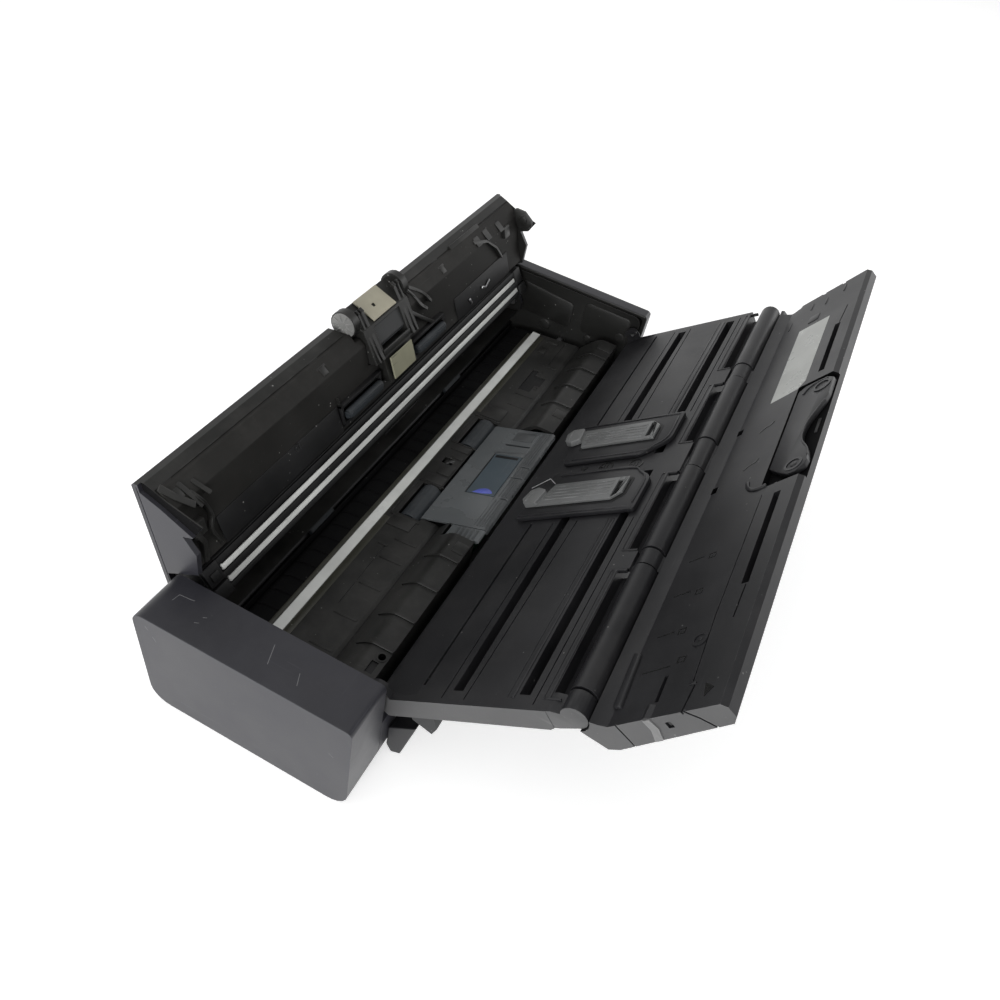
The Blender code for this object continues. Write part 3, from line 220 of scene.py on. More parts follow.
def place_shape(name, shape, panel):
    """Turn a shape in millimetres into an object in its place on a panel."""
    mesh = bpy.data.meshes.new(name)
    matrix = panel @ Matrix.Scale(millimetre, 4)
    bmesh.ops.transform(shape, matrix=matrix, verts=shape.verts)
    shape.to_mesh(mesh)
    shape.free()
    return link(name, mesh)


def finish_piece(name, shape, panel, finish, body, limits=()):
    """Make a piece from its shape and let it ride on its body."""
    keep_clear(shape, limits)
    piece = place_shape(name, shape, panel)
    piece.data.materials.append(finishes[finish])
    piece.data.shade_smooth()
    piece.data.set_sharp_from_angle(angle=piece_sharp_angle)
    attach(piece, body)
    return piece


def apply_modifiers(piece):
    bpy.context.view_layer.update()
    solid = bpy.data.meshes.new_from_object(
        piece.evaluated_get(bpy.context.evaluated_depsgraph_get()))
    piece.modifiers.clear()
    piece.data = solid


def dress(node, finish, edge=0.0003, segments=2, cuts=(), panel=world_frame, keep_angle=28,
          adjust=None):
    """A copy of a CAD node with its mesh merged, details cut in and its edges rounded."""
    shape = bmesh.new()
    shape.from_mesh(nodes[node].data)
    bmesh.ops.remove_doubles(shape, verts=shape.verts, dist=merge_distance)
    bmesh.ops.dissolve_limit(
        shape, angle_limit=flat_angle, verts=shape.verts, edges=shape.edges)
    if adjust:
        adjust(shape)
    mesh = bpy.data.meshes.new(node + "_dressed")
    shape.to_mesh(mesh)
    shape.free()
    mesh.materials.clear()
    mesh.materials.append(finishes[finish])
    piece = link(node + "_dressed", mesh)
    cutters = []
    for cut in cuts:
        bmesh.ops.recalc_face_normals(cut, faces=cut.faces)
        cutters.append(place_shape("cutter", cut, panel))
        modifier = piece.modifiers.new("detail", "BOOLEAN")
        modifier.operation = "DIFFERENCE"
        modifier.object = cutters[-1]
    if cutters:
        apply_modifiers(piece)
        for cutter in cutters:
            bpy.data.objects.remove(cutter)
    bevel = piece.modifiers.new("round edges", "BEVEL")
    bevel.width = edge
    bevel.segments = segments
    bevel.limit_method = "ANGLE"
    bevel.angle_limit = math.radians(keep_angle)
    apply_modifiers(piece)
    piece.data.shade_smooth()
    piece.data.set_sharp_from_angle(angle=dressed_sharp_angle)
    even = piece.modifiers.new("even shading", "WEIGHTED_NORMAL")
    even.keep_sharp = True
    apply_modifiers(piece)
    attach(piece, body_of_node[node])
    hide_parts(node)
    return piece


def repaint(piece, finish, panel, chosen):
    """Give another finish to the faces that a test picks in the panel's own axes."""
    piece.data.materials.append(finishes[finish])
    back = panel.inverted()
    turn = back.to_3x3()
    for face in piece.data.polygons:
        if chosen(back @ face.center / millimetre, turn @ face.normal):
            face.material_index = len(piece.data.materials) - 1


piece_sharp_angle = math.radians(35)
dressed_sharp_angle = math.radians(38)
flat_angle = math.radians(1)
merge_distance = 0.00001

# The lowest heights that stay clear of the parts under the closed cover, by distance along it
over_guide = ((0, -9.0), (41, -6.9), (45, -5.1), (48, -3.9), (50, -2.5), (51.6, -0.8), (53.2, 0.7),
              (54.8, 1.9), (56.4, 2.75), (58, 3.15), (70, 3.15))
over_separation = ((0, -9.0), (41, -6.85), (45, -5.05), (50, -3.15), (55, -1.25), (60, 0.65),
                   (64, 2.1), (70, 4.4))
kept_depth, deepest = 0.12, -5.0  # the share of a shape's depth that is kept, and from where


def keep_clear(shape, limits):
    """Lift what would reach into the lower paper path when the cover is closed."""
    for vert in shape.verts:
        for (start, low), (end, high) in zip(limits, limits[1:]):
            if start <= vert.co.y < end:
                least = low + (high - low) * (vert.co.y - start) / (end - start)
                if vert.co.z < least:
                    vert.co.z = least + kept_depth * (vert.co.z - deepest)


def tighten_rear_edge(shape):
    """Draw the wide rounding along a cap's upper rear edge in to a small one."""
    centre = Vector((0.035, 0.044))
    wide, wide_inside, small = 0.007, 0.0048, 0.0022
    for vert in shape.verts:
        arm = Vector((vert.co.y, vert.co.z)) - centre
        if min(arm.x, arm.y) < -0.00005 or arm.length < 0.003:
            continue
        outer = arm.length > 0.0058
        corner = Vector((0.0398, 0.0488)) if outer else Vector((0.0376, 0.0466))
        vert.co.yz = corner + arm * (small / (wide if outer else wide_inside))


# Node groups for effects that several finishes share

def feed(tree, socket, value):
    """Link a socket to another node's output, or set its own value."""
    if isinstance(value, bpy.types.NodeSocket):
        tree.links.new(value, socket)
    else:
        socket.default_value = value


def add_node(tree, kind, inputs=None, **settings):
    """A node with its settings, and with its inputs linked or set."""
    node = tree.nodes.new("ShaderNode" + kind)
    for name, value in settings.items():
        setattr(node, name, value)
    for label, value in (inputs or {}).items():
        feed(tree, node.inputs[label], value)
    return node


def new_group(name, outputs, **inputs):
    """A node group with a vector and numbers going in, and numbers coming out."""
    group = bpy.data.node_groups.new(name, "ShaderNodeTree")
    group.interface.new_socket("Vector", in_out="INPUT", socket_type="NodeSocketVector")
    for label, value in inputs.items():
        socket = group.interface.new_socket(label, in_out="INPUT", socket_type="NodeSocketFloat")
        socket.default_value = value
    for label in outputs:
        group.interface.new_socket(label, in_out="OUTPUT", socket_type="NodeSocketFloat")
    given = group.nodes.new("NodeGroupInput").outputs
    return group, given, group.nodes.new("NodeGroupOutput").inputs


def math_node(tree, operation, *values, clamp=False):
    return add_node(tree, "Math", dict(enumerate(values)), operation=operation,
                    use_clamp=clamp).outputs[0]


def noise(tree, vector, scale, detail=3.0, roughness=0.5):
    return add_node(tree, "TexNoise", {
        "Detail": detail, "Roughness": roughness, "Scale": scale, "Vector": vector}).outputs["Fac"]


def ramp(tree, value, low, high):
    """A smooth step of a value from low to high, as a mask."""
    return add_node(tree, "MapRange", {"From Min": low, "From Max": high, "Value": value},
                    interpolation_type="SMOOTHSTEP").outputs["Result"]


def make_edge_wear():
    """A mask along edges, broken up so that only the exposed runs are worn."""
    group, given, out = new_group("Edge wear", ["Mask"], Width=0.0005, Amount=0.5)
    softened = add_node(group, "Bevel", {"Radius": given["Width"]}, samples=4)
    plain = add_node(group, "NewGeometry")
    facing = add_node(group, "VectorMath", {
        0: softened.outputs["Normal"], 1: plain.outputs["Normal"]}, operation="DOT_PRODUCT")
    edges = ramp(group, math_node(group, "SUBTRACT", 1.0, facing.outputs["Value"]), 0.015, 0.12)
    breaks = ramp(group, noise(group, given["Vector"], 160.0, 5.0), 0.40, 0.62)
    mask = math_node(group, "MULTIPLY", edges, breaks)
    feed(group, out["Mask"], math_node(group, "MULTIPLY", mask, given["Amount"], clamp=True))
    return group


def make_grain():
    """The fine texture of a spark-eroded mould, as a height and a roughness change."""
    group, given, out = new_group("Mould grain", ["Height", "Patches"], Scale=2600.0)
    fine = noise(group, given["Vector"], given["Scale"], 2.0, 0.6)
    patches = ramp(group, noise(group, given["Vector"], 28.0, 4.0, 0.6), 0.30, 0.72)
    feed(group, out["Height"], fine)
    feed(group, out["Patches"], patches)
    return group


def make_dust():
    """Dust that lies on upward faces, and loose pale specks."""
    group, given, out = new_group("Dust", ["Film", "Specks"], Amount=0.3, Specks=0.3)
    geometry = add_node(group, "NewGeometry")
    split = add_node(group, "SeparateXYZ", {"Vector": geometry.outputs["Normal"]})
    upward = ramp(group, split.outputs["Z"], 0.1, 1.0)
    cloud = ramp(group, noise(group, given["Vector"], 45.0, 6.0, 0.65), 0.38, 0.75)
    film = math_node(group, "MULTIPLY", upward, cloud)
    feed(group, out["Film"], math_node(group, "MULTIPLY", film, given["Amount"], clamp=True))
    cells = add_node(group, "TexVoronoi", {"Scale": 420.0, "Vector": given["Vector"]})
    dots = ramp(group, cells.outputs["Distance"], 0.16, 0.08)
    sparse = ramp(group, noise(group, given["Vector"], 150.0, 2.0), 0.60, 0.68)
    specks = math_node(group, "MULTIPLY", dots, sparse)
    feed(group, out["Specks"], math_node(group, "MULTIPLY", specks, given["Specks"], clamp=True))
    return group


def make_scratches():
    """Thin hairline marks that run mostly one way."""
    group, given, out = new_group("Scratches", ["Mask"], Amount=0.3)
    masks = []
    for turn, stretch in (((0.3, 0.2, 0.5), (30, 900, 900)), ((0.1, 0.9, 2.1), (900, 26, 900))):
        mapping = add_node(group, "Mapping", {
            "Rotation": turn, "Scale": stretch, "Vector": given["Vector"]})
        masks.append(ramp(group, noise(group, mapping.outputs["Vector"], 1.0, 1.0), 0.70, 0.76))
    both = math_node(group, "MAXIMUM", *masks)
    where = ramp(group, noise(group, given["Vector"], 60.0, 2.0), 0.48, 0.62)
    lines = math_node(group, "MULTIPLY", both, where)
    feed(group, out["Mask"], math_node(group, "MULTIPLY", lines, given["Amount"], clamp=True))
    return group


def place_group(tree, kind, vector, **values):
    inputs = {label.capitalize(): value for label, value in values.items()}
    return add_node(tree, "Group", {"Vector": vector, **inputs}, node_tree=groups[kind]).outputs


def mix_colour(tree, mask, first, second):
    """The first colour, and the second where the mask is one."""
    node = add_node(tree, "Mix", {0: mask}, data_type="RGBA")
    for index, colour in ((6, first), (7, second)):
        feed(tree, node.inputs[index], (*colour, 1.0) if isinstance(colour, tuple) else colour)
    return node.outputs[2]


def new_material(name):
    """A material with its tree, its shader and its object coordinates."""
    material = bpy.data.materials.new(name)
    material.use_nodes = True
    tree = material.node_tree
    shader = tree.nodes["Principled BSDF"]
    return material, tree, shader.inputs, add_node(tree, "TexCoord").outputs["Object"]


def add_bump(tree, shader, height, strength, distance):
    raised = add_node(tree, "Bump", {
        "Strength": strength, "Distance": distance, "Height": height})
    feed(tree, shader["Normal"], raised.outputs["Normal"])


def tinted(colour, share, lift=0.0):
    return tuple(min(1.0, channel * share + lift) for channel in colour)


def moulded(name, colour, roughness, grain=2600.0, bump=0.15, wear=0.5, wear_colour=None,
            dust=0.25, specks=0.3, scratches=0.2, spec=0.5):
    """Moulded plastic: grain, worn edges, dust, specks and hairline scratches."""
    material, tree, shader, coordinates = new_material(name)
    texture = place_group(tree, "grain", coordinates, scale=grain)
    worn = place_group(tree, "wear", coordinates, amount=wear)
    dusty = place_group(tree, "dust", coordinates, amount=dust, specks=specks)
    lines = place_group(tree, "scratches", coordinates, amount=scratches)
    # The paler colour of worn edges and hairline scratches; here it is real wear
    wear_and_painted_light = wear_colour or tinted(colour, 2.6, 0.03)
    base = mix_colour(tree, texture["Patches"], colour, tinted(colour, 1.35, 0.004))
    base = mix_colour(tree, worn["Mask"], base, wear_and_painted_light)
    base = mix_colour(tree, dusty["Film"], base, (0.22, 0.21, 0.20))
    base = mix_colour(tree, lines["Mask"], base, wear_and_painted_light)
    base = mix_colour(tree, dusty["Specks"], base, (0.5, 0.5, 0.48))
    feed(tree, shader["Base Color"], base)
    rough = math_node(tree, "MULTIPLY_ADD", texture["Patches"], 0.10, roughness - 0.05)
    rough = math_node(tree, "MULTIPLY_ADD", worn["Mask"], -0.12, rough)
    rough = math_node(tree, "MULTIPLY_ADD", dusty["Film"], 0.5, rough, clamp=True)
    feed(tree, shader["Roughness"], rough)
    add_bump(tree, shader, texture["Height"], bump, 0.00004)
    shader["Specular IOR Level"].default_value = spec
    return material


def plated(name, colour, roughness):
    """Plated or brushed metal with fine lines and dull patches."""
    material, tree, shader, coordinates = new_material(name)
    shader["Metallic"].default_value = 1.0
    stretch = add_node(tree, "Mapping", {"Scale": (0.06, 1, 1), "Vector": coordinates})
    brushed = noise(tree, stretch.outputs["Vector"], 1800.0, 2.0)
    texture = place_group(tree, "grain", coordinates, scale=900.0)
    feed(tree, shader["Base Color"],
         mix_colour(tree, texture["Patches"], colour, tinted(colour, 0.72)))
    rough = math_node(tree, "MULTIPLY_ADD", brushed, 0.25, roughness - 0.12)
    rough = math_node(tree, "MULTIPLY_ADD", texture["Patches"], 0.1, rough, clamp=True)
    feed(tree, shader["Roughness"], rough)
    add_bump(tree, shader, brushed, 0.12, 0.00003)
    return material


groups = {}
finishes = {}


def make_finishes(colours):
    groups["wear"] = make_edge_wear()
    groups["grain"] = make_grain()
    groups["dust"] = make_dust()
    groups["scratches"] = make_scratches()
    case = tuple(colours.case)
    black = tuple(colours.inner)
    tray = tuple(colours.tray)
    finishes.update({
        "case": moulded(
            "Outer shell, satin blue grey", case, 0.40, grain=3200, bump=0.22, wear=0.35, dust=0.03,
            specks=0.05, scratches=0.3, spec=0.55),
        "inner": moulded(
            "Inner mouldings, black", black, 0.40, grain=2200, bump=0.12, wear=0.35, dust=0.10,
            specks=0.5, scratches=0.2, spec=0.35),
        "sensor": moulded(
            "Sensor housing, dull black", (0.0055, 0.0055, 0.006), 0.55, wear=0.25, dust=0.06,
            specks=0.4, spec=0.3),
        "dark_steel": plated("Blackened shaft steel", (0.06, 0.06, 0.062), 0.35),
        "screw": plated("Black screw steel", (0.10, 0.10, 0.105), 0.28),
        "smoke": moulded(
            "Guide insert, grey", (0.115, 0.118, 0.118), 0.4, grain=2000, bump=0.12, wear=0.5,
            dust=0.15, specks=0.2, scratches=0.4),
        "label": moulded(
            "Blank sticker, pale grey", (0.36, 0.37, 0.35), 0.3, grain=700, bump=0.08, wear=0.0,
            dust=0.3, specks=0.15, scratches=0.5),
        # Painted light: faces that look toward the drive end get this paler grey, which stands in for the sheen of
        # the side lamp and the floor on them
        "wear_and_painted_light": moulded(
            "Tray end face, rubbed grey", (0.052, 0.052, 0.053), 0.42, grain=2600, bump=0.15,
            wear=0.5, dust=0.05, specks=0.2, scratches=0.3, spec=0.4),
        # Painted shade: a dead black with almost no gloss, laid on the exit chute and on rebates, holes and
        # recesses where shade falls
        "painted_shade": moulded(
            "Shaded recess, dead black", (0.0035, 0.0035, 0.0038), 0.8, wear=0.0, dust=0.0,
            specks=0.1, spec=0.05),
        "track": moulded(
            "Glass frame, olive black", (0.026, 0.0255, 0.018), 0.35, wear=0.2, dust=0.1,
            specks=0.3, spec=0.4),
        "lining": moulded(
            "Cover lining, matt black", (0.016, 0.0155, 0.0145), 0.62, grain=1500, bump=0.35,
            wear=0.2, dust=0.08, specks=0.5, scratches=0.15, spec=0.15),
        "bead": moulded(
            "Polished black edge", (0.012, 0.012, 0.012), 0.16, grain=1500, bump=0.03, wear=0.0,
            dust=0.05, specks=0.1, scratches=0.2, spec=0.9),
        "ridge": moulded(
            "Moulded marks, glossy black", (0.008, 0.008, 0.008), 0.25, wear=0.2, dust=0.0,
            specks=0.0, scratches=0.1, spec=0.3),
        "scuff": moulded(
            "Scuffed plastic", (0.13, 0.13, 0.135), 0.6, grain=1200, bump=0.3, wear=0.0, dust=0.0,
            specks=0.0, scratches=0.0, spec=0.2),
        "clip": moulded(
            "Flap clip, worn grey", (0.12, 0.12, 0.12), 0.45, grain=900, bump=0.2, wear=0.6,
            dust=0.1, specks=0.3, scratches=0.5),
        "cheek": moulded(
            "Pickup end disc, grey", (0.17, 0.17, 0.165), 0.45, grain=1500, bump=0.15, wear=0.3,
            dust=0.1, specks=0.2, scratches=0.3),
        "shroud": moulded(
            "Pickup roller, smooth grey rubber", (0.030, 0.031, 0.032), 0.5, grain=1500, bump=0.2,
            wear=0.1, dust=0.1, specks=0.2, spec=0.25),
        "felt": moulded(
            "Worn felt pad", (0.235, 0.23, 0.165), 0.8, grain=900, bump=0.6, wear=0.2,
            wear_colour=(0.10, 0.10, 0.08), dust=0.0, specks=0.2, scratches=0.8, spec=0.2),
        "grey_dark": moulded(
            "Separation cover, rear band", tuple(c * 0.62 for c in colours.separation), 0.34,
            bump=0.08, wear=0.5, dust=0.1, specks=0.2, scratches=0.4, spec=0.4),
        "lens": moulded(
            "Blue sensor lens", (0.09, 0.11, 0.42), 0.25, grain=900, bump=0.03, wear=0.0,
            dust=0.0, specks=0.1),
        "strip": moulded(
            "Scan strip, pale", tuple(colours.strip), 0.22, bump=0.02, wear=0.0, dust=0.1,
            specks=0.1, scratches=0.1, spec=0.6),
        "grey": moulded(
            "Separation cover, smoke grey", tuple(colours.separation), 0.28, bump=0.05, wear=0.3,
            dust=0.1, specks=0.2, scratches=0.4, spec=0.6),
        "pad": moulded(
            "Separation pad rubber", (0.045, 0.062, 0.075), 0.65, grain=1500, bump=0.4, wear=0.1,
            dust=0.15, specks=0.1),
        "beige": moulded(
            "Beige felt plate", (0.33, 0.31, 0.24), 0.75, grain=1400, bump=0.5, wear=0.1,
            dust=0.1, specks=0.1, scratches=0.1),
        "roller": moulded(
            "Roller rubber", (0.014, 0.018, 0.022), 0.62, grain=1800, bump=0.35, wear=0.1,
            dust=0.15, specks=0.3),
        "foot": moulded(
            "Foot rubber", (0.02, 0.02, 0.02), 0.85, grain=1500, bump=0.4, wear=0.2, dust=0.2),
        "steel": plated("Plated steel", (0.55, 0.55, 0.56), 0.32),
        "frame": plated("Side frame sheet", (0.30, 0.30, 0.31), 0.42),
        "gear": moulded(
            "Gear nylon", (0.60, 0.57, 0.50), 0.45, grain=900, bump=0.08, wear=0.1, dust=0.05),
        "board": moulded("Circuit board", (0.01, 0.10, 0.04), 0.4, grain=600, bump=0.2, wear=0.1),
        "tray": moulded(
            "Tray, fine grained black", tray, 0.42, grain=2600, bump=0.15, wear=0.45, dust=0.05,
            specks=0.25, scratches=0.2, spec=0.36),
        "button": moulded("Buttons, satin grey", (0.10, 0.10, 0.11), 0.38, wear=0.3, dust=0.05),
    })


cad_finishes = {
    "case": ("base_frame", "rear_bracket_near", "rear_bracket_far", "end_cap_near", "end_cap_far",
             "cover_skin"),
    "frame": ("side_frame_near",),
    "inner": ("side_frame_far", "exit_chute", "platen", "paper_guide", "cover_inner_plate",
              "pickup_housing"),
    "sensor": ("lower_sensor_module", "upper_sensor_module"),
    "strip": ("lower_scan_strip", "upper_scan_strip", "upper_reference_strip"),
    "grey": ("separation_cover", "release_lever", "guide_fence_near", "guide_fence_far"),
    "pad": ("separation_pad",),
    "beige": ("pickup_plate", "pickup_pad"),
    "roller": ("drive_roller_near", "drive_roller_far", "eject_roller_near", "eject_roller_far",
               "pressure_roller_near", "pressure_roller_far", "pickup_roller"),
    "foot": ("rubber_foot_1", "rubber_foot_2", "rubber_foot_3", "rubber_foot_4"),
    "steel": ("drive_shaft", "motor_pinion", "motor", "cover_hinge_pin_near",
              "cover_hinge_pin_far", "tray_hinge_pin_near", "tray_hinge_pin_far", "usb_socket"),
    "dark_steel": ("eject_shaft", "flap_hinge_rod"),
    "gear": ("drive_gear", "eject_gear", "lower_idler_gear", "upper_idler_gear"),
    "board": ("main_board",),
    "tray": ("feed_tray", "tray_flap", "side_guide_near", "side_guide_far", "support_arm"),
    "button": ("power_button", "start_button"),
}


# The scanner's groups of pieces

side_scuffs = ([(-36.6, 46.6), (-35.6, 45.0)], [(-34.2, 42.4), (-33.0, 40.2)],
           [(34.0, 32.2), (35.9, 30.6)])


def dress_base():
    """Dress the base, its end caps and the mouldings of the lower paper path."""
    shell = dress("base_frame", "case", 0.0006, 3)
    repaint(shell, "inner", world_frame, lambda place, normal: (
        -38.9 < place.y < 39.95 and place.z > 2.9 and place.z < 27.2))
    for side, node in (("near", "end_cap_near"), ("far", "end_cap_far")):
        cap = dress(node, "case", 0.0008, 3, keep_angle=50,
                    cuts=scuff_cuts() if side == "near" else (),
                    adjust=tighten_rear_edge)
        lip = 124.5 if side == "near" else 137.5
        repaint(cap, "inner", world_frame, lambda place, normal: (
            abs(place.x) < lip and abs(normal.x) > 0.5))
    dress("side_frame_far", "inner", 0.0002)
    for node in ("rear_bracket_far", "rear_bracket_near"):
        dress(node, "tray", 0.0004)
    # Painted shade: the exit chute, its ribs and a long wall beside them get the dead black that stands in for the
    # shade in the exit slot
    chute = bmesh.new()
    for step in range(29):
        x = -122.0 + step * 8.2
        slab(chute, [(-28.4, 14.9), (-28.4, 15.4), (-24.5, 17.4), (-17.4, 18.35), (-17.4, 17.9)],
             x - 0.3, x + 0.3, view=side_view)
    block(chute, (-130.3, 117.3), (-30.6, -29.4), (3.4, 16.4), 0.3)
    finish_piece("exit_chute_ribs", chute, world_frame, "painted_shade", "base")
    dress("exit_chute", "painted_shade", 0.0003)
    tracks = bmesh.new()
    block(tracks, (-128.0, 116.0), (-16.25, -15.75), (18.2, 19.15), 0.12)
    block(tracks, (-128.0, 116.0), (-17.9, -16.3), (17.7, 18.45), 0.25)
    block(tracks, (-128.0, 116.0), (-11.05, -10.55), (18.2, 19.3), 0.12)
    for low, high in ((36.0, 118.5), (-128.0, -49.0)):
        slab(tracks, [(-10.5, 18.6), (-10.5, 19.45), (-7.6, 19.8), (-7.6, 18.8)], low, high,
             view=side_view, edge=0.15)
    finish_piece("lower_glass_frame", tracks, world_frame, "track", "base")
    dress_platen()
    dress_guide()
    mark_caps()


def dress_platen():
    recess = bmesh.new()
    slab(recess, [(-97.2, 10.3), (-77.2, 10.3), (-77.2, 16.6), (-84.0, 16.6), (-84.0, 19.4),
                  (-92.5, 19.4), (-92.5, 13.4), (-97.2, 13.4)], -0.9, 2.0)
    slot = bmesh.new()
    block(slot, (-128.6, -104.5), (15.2, 15.8), (-0.4, 2.0))
    long_slot = bmesh.new()
    slab(long_slot, trail([(51.0, 9.6), (86.0, 10.2)], 0.6), -0.4, 2.0)
    platen = dress("platen", "inner", 0.00025, cuts=(recess, slot, long_slot),
                   panel=platen_frame)
    # Painted shade: the floor of the far recess gets the darker dull black of the sensor housing
    repaint(platen, "sensor", platen_frame,
            lambda place, normal: place.z < -0.6 and -100 < place.x < -76)
    shape = bmesh.new()
    for x, y in (((33.6, 40.2), (3.0, 14.2)), ((2.8, 8.3), (2.4, 12.6)),
                 ((-21.2, -17.0), (3.4, 12.6)), ((-56.6, -47.0), (3.2, 14.6)),
                 ((-6.0, 1.2), (5.6, 12.4))):
        block(shape, x, y, (-0.3, 0.45), 0.18)
    for x, y in (((9.0, 32.6), (0.9, 1.7)), ((-45.4, -22.2), (0.9, 1.7)),
                 ((33.2, 34.0), (1.2, 15.4)), ((8.6, 9.2), (1.4, 14.0)),
                 ((-22.2, -21.6), (1.4, 14.0)), ((-46.4, -45.6), (1.2, 15.4)),
                 ((-13.4, -11.6), (6.0, 12.2)), ((50.6, 51.6), (6.2, 10.4)),
                 ((-96.8, -94.6), (14.2, 16.0)), ((-82.6, -80.4), (17.4, 19.0)),
                 ((-127.8, -124.8), (6.2, 12.0)), ((-118.6, -113.2), (5.4, 9.0))):
        block(shape, x, y, (-0.3, 0.4), 0.12)
    for x in (46.0, 57.5, 73.0, 90.0, 106.0, -63.0, -73.0, -103.0):
        block(shape, (x - 0.4, x + 0.4), (10.8, 20.9), (-0.3, 0.28), 0.1)
    finish_piece("platen_details", shape, platen_frame, "inner", "base")
    flag = bmesh.new()
    slab(flag, [(-10.6, 5.2), (-6.9, 5.2), (-6.9, 7.6), (-8.4, 7.6), (-8.4, 9.4), (-10.6, 9.4)],
         -2.4, -0.2, edge=0.2)
    finish_piece("paper_sensor_flag", flag, platen_frame, "bead", "base")


def dress_guide():
    hole = bmesh.new()
    rod(hole, (104.6, 29.6, 25), (104.6, 29.6, 40), 1.5, steps=20)
    notch = bmesh.new()
    block(notch, (107.2, 112.4), (27.2, 30.0), (31.2, 40))
    guide = dress("paper_guide", "inner", 0.0002, cuts=(hole, notch))
    # Painted shade: the walls and floor of the hole and notch get the darker dull black of the sensor housing
    repaint(guide, "sensor", world_frame,
            lambda place, normal: place.x > 102.5 and 27 < place.y < 31.2 and place.z < 31.9)
    profile = [(17.6, 27.5), (19.1, 29.1), (20.6, 30.5), (22.2, 31.6), (23.8, 32.4), (25.4, 32.7),
               (29.5, 32.7), (31.9, 32.7)]
    ribs = bmesh.new()
    for x in (101.0, 86.0, 69.0, 52.0, -65.0, -82.0, -99.0, -114.0):
        slab(ribs, trail(profile, 0.22), x + 0.25, x + 0.62, view=side_view, edge=0.05)
    finish_piece("guide_rib_beads", ribs, world_frame, "bead", "base")
    ring = bmesh.new()
    hoop(ring, 104.6, 29.6, 2.0, 1.45, 31.9, 32.25)
    finish_piece("guide_boss", ring, world_frame, "inner", "base")
    shelf = bmesh.new()
    for x, y in (((-129.6, -121.0), (24.2, 31.6)), ((-60.4, -54.6), (26.4, 31.8)),
                 ((41.8, 47.6), (26.4, 31.8))):
        block(shelf, x, y, (30.4, 32.3), 0.2)
    finish_piece("guide_pads", shelf, world_frame, "inner", "base")


def scuff_cuts():
    cuts = []
    for line in side_scuffs:
        shape = bmesh.new()
        slab(shape, trail(line, 0.5), 143.7, 144.5, view=side_view)
        cuts.append(shape)
    return cuts


def mark_caps():
    marks = bmesh.new()
    for line in ([(133.7, -34.0), (130.7, -33.5), (130.4, -29.8), (130.1, -27.9)],
                 [(129.9, 3.6), (137.0, 6.0)], [(136.8, -22.6), (136.2, -21.2)],
                 [(133.8, -21.6), (133.2, -20.4)], [(134.4, 16.4), (138.6, 18.2)]):
        slab(marks, trail(line, 0.22), 50.98, 51.03)
    finish_piece("cap_scuffs", marks, world_frame, "scuff", "base")
    side_marks = bmesh.new()
    for line in side_scuffs:
        slab(side_marks, trail(line, 0.5), 143.6, 143.97, view=side_view)
    finish_piece("cap_side_scuffs", side_marks, world_frame, "scuff", "base")
    bosses = bmesh.new()
    for y, z, radius in ((-12.0, 22.0, 3.4), (14.0, 24.0, 2.6), (31.0, 33.0, 3.0)):
        rod(bosses, (-137.6, y, z), (-136.7, y, z), radius, radius * 0.8, edge=0.2)
    slab(bosses, rounded([(-36, 26), (2, 26), (2, 41), (-36, 44)], 3.0), -137.6, -136.9,
         view=side_view, edge=0.4)
    slab(bosses, rounded([(8, 27), (35, 27), (35, 45.4), (8, 45.4)], 3.0), -137.6, -136.9,
         view=side_view, edge=0.4)
    finish_piece("far_wall_bosses", bosses, world_frame, "inner", "base")


def dress_separation():
    """Dress the separation cover, its pad and the release lever."""
    cuts = []
    for line, width, depth in (([(8.9, -1.9), (9.2, 3.0)], 0.8, 0.9),
                               ([(-14.8, -3.2), (-14.4, 3.0)], 0.7, 0.9),
                               ([(-6.2, -4.0), (-6.6, 3.0)], 0.8, 1.2),
                               ([(28.0, -4.4), (-41.0, -4.4)], 0.45, 0.35)):
        shape = bmesh.new()
        slab(shape, trail(line, width), 3.0 - depth, 4.0)
        cuts.append(shape)
    cover = dress("separation_cover", "grey", 0.0003, cuts=cuts, panel=plate_frame)
    repaint(cover, "grey_dark", plate_frame,
            lambda place, normal: place.y > -4.4 and normal.z > 0.3 and place.z > 2.0)
    rails = bmesh.new()
    for y in (-2.9, -1.6, -0.4, 0.7):
        for x in ((-41.0, -16.2), (-13.6, -7.6), (-5.2, 7.8), (10.2, 28.2)):
            block(rails, x, (y - 0.3, y + 0.3), (2.7, 3.25), 0.1)
    block(rails, (-40.2, -33.4), (-16.0, -6.2), (2.7, 3.3), 0.25)
    slab(rails, trail([(-22.6, -20.2), (-24.6, -3.9)], 0.5), 2.8, 3.2, edge=0.12)
    finish_piece("separation_ribs", rails, plate_frame, "grey_dark", "separation")
    pad_edge = bmesh.new()
    block(pad_edge, (-21.3, 8.3), (-19.2, -18.6), (1.7, 3.35), 0.1)
    block(pad_edge, (-20.4, -18.6), (-17.8, -6.4), (3.0, 3.3), 0.1)
    finish_piece("pad_rim", pad_edge, plate_frame, "sensor", "separation")
    lens = bmesh.new()
    slab(lens, bend([(8.0, -16.0), (7.9, -11.2), (6.8, -6.9), (4.9, -8.6), (4.3, -11.0),
                     (5.4, -13.9), (8.0, -16.0)][:-1]), 3.1, 3.32, edge=0.08)
    finish_piece("separation_lens", lens, plate_frame, "lens", "separation")
    dress("separation_pad", "pad", 0.0002)
    dress("release_lever", "grey", 0.0004, 3)
    grips = bmesh.new()
    for y in (-9.6, -7.4, -5.2, -3.0, -0.8):
        block(grips, (31.0, 36.6), (y - 0.45, y + 0.45), (2.7, 3.3), 0.15)
    finish_piece("lever_grips", grips, plate_frame, "grey_dark", "release")


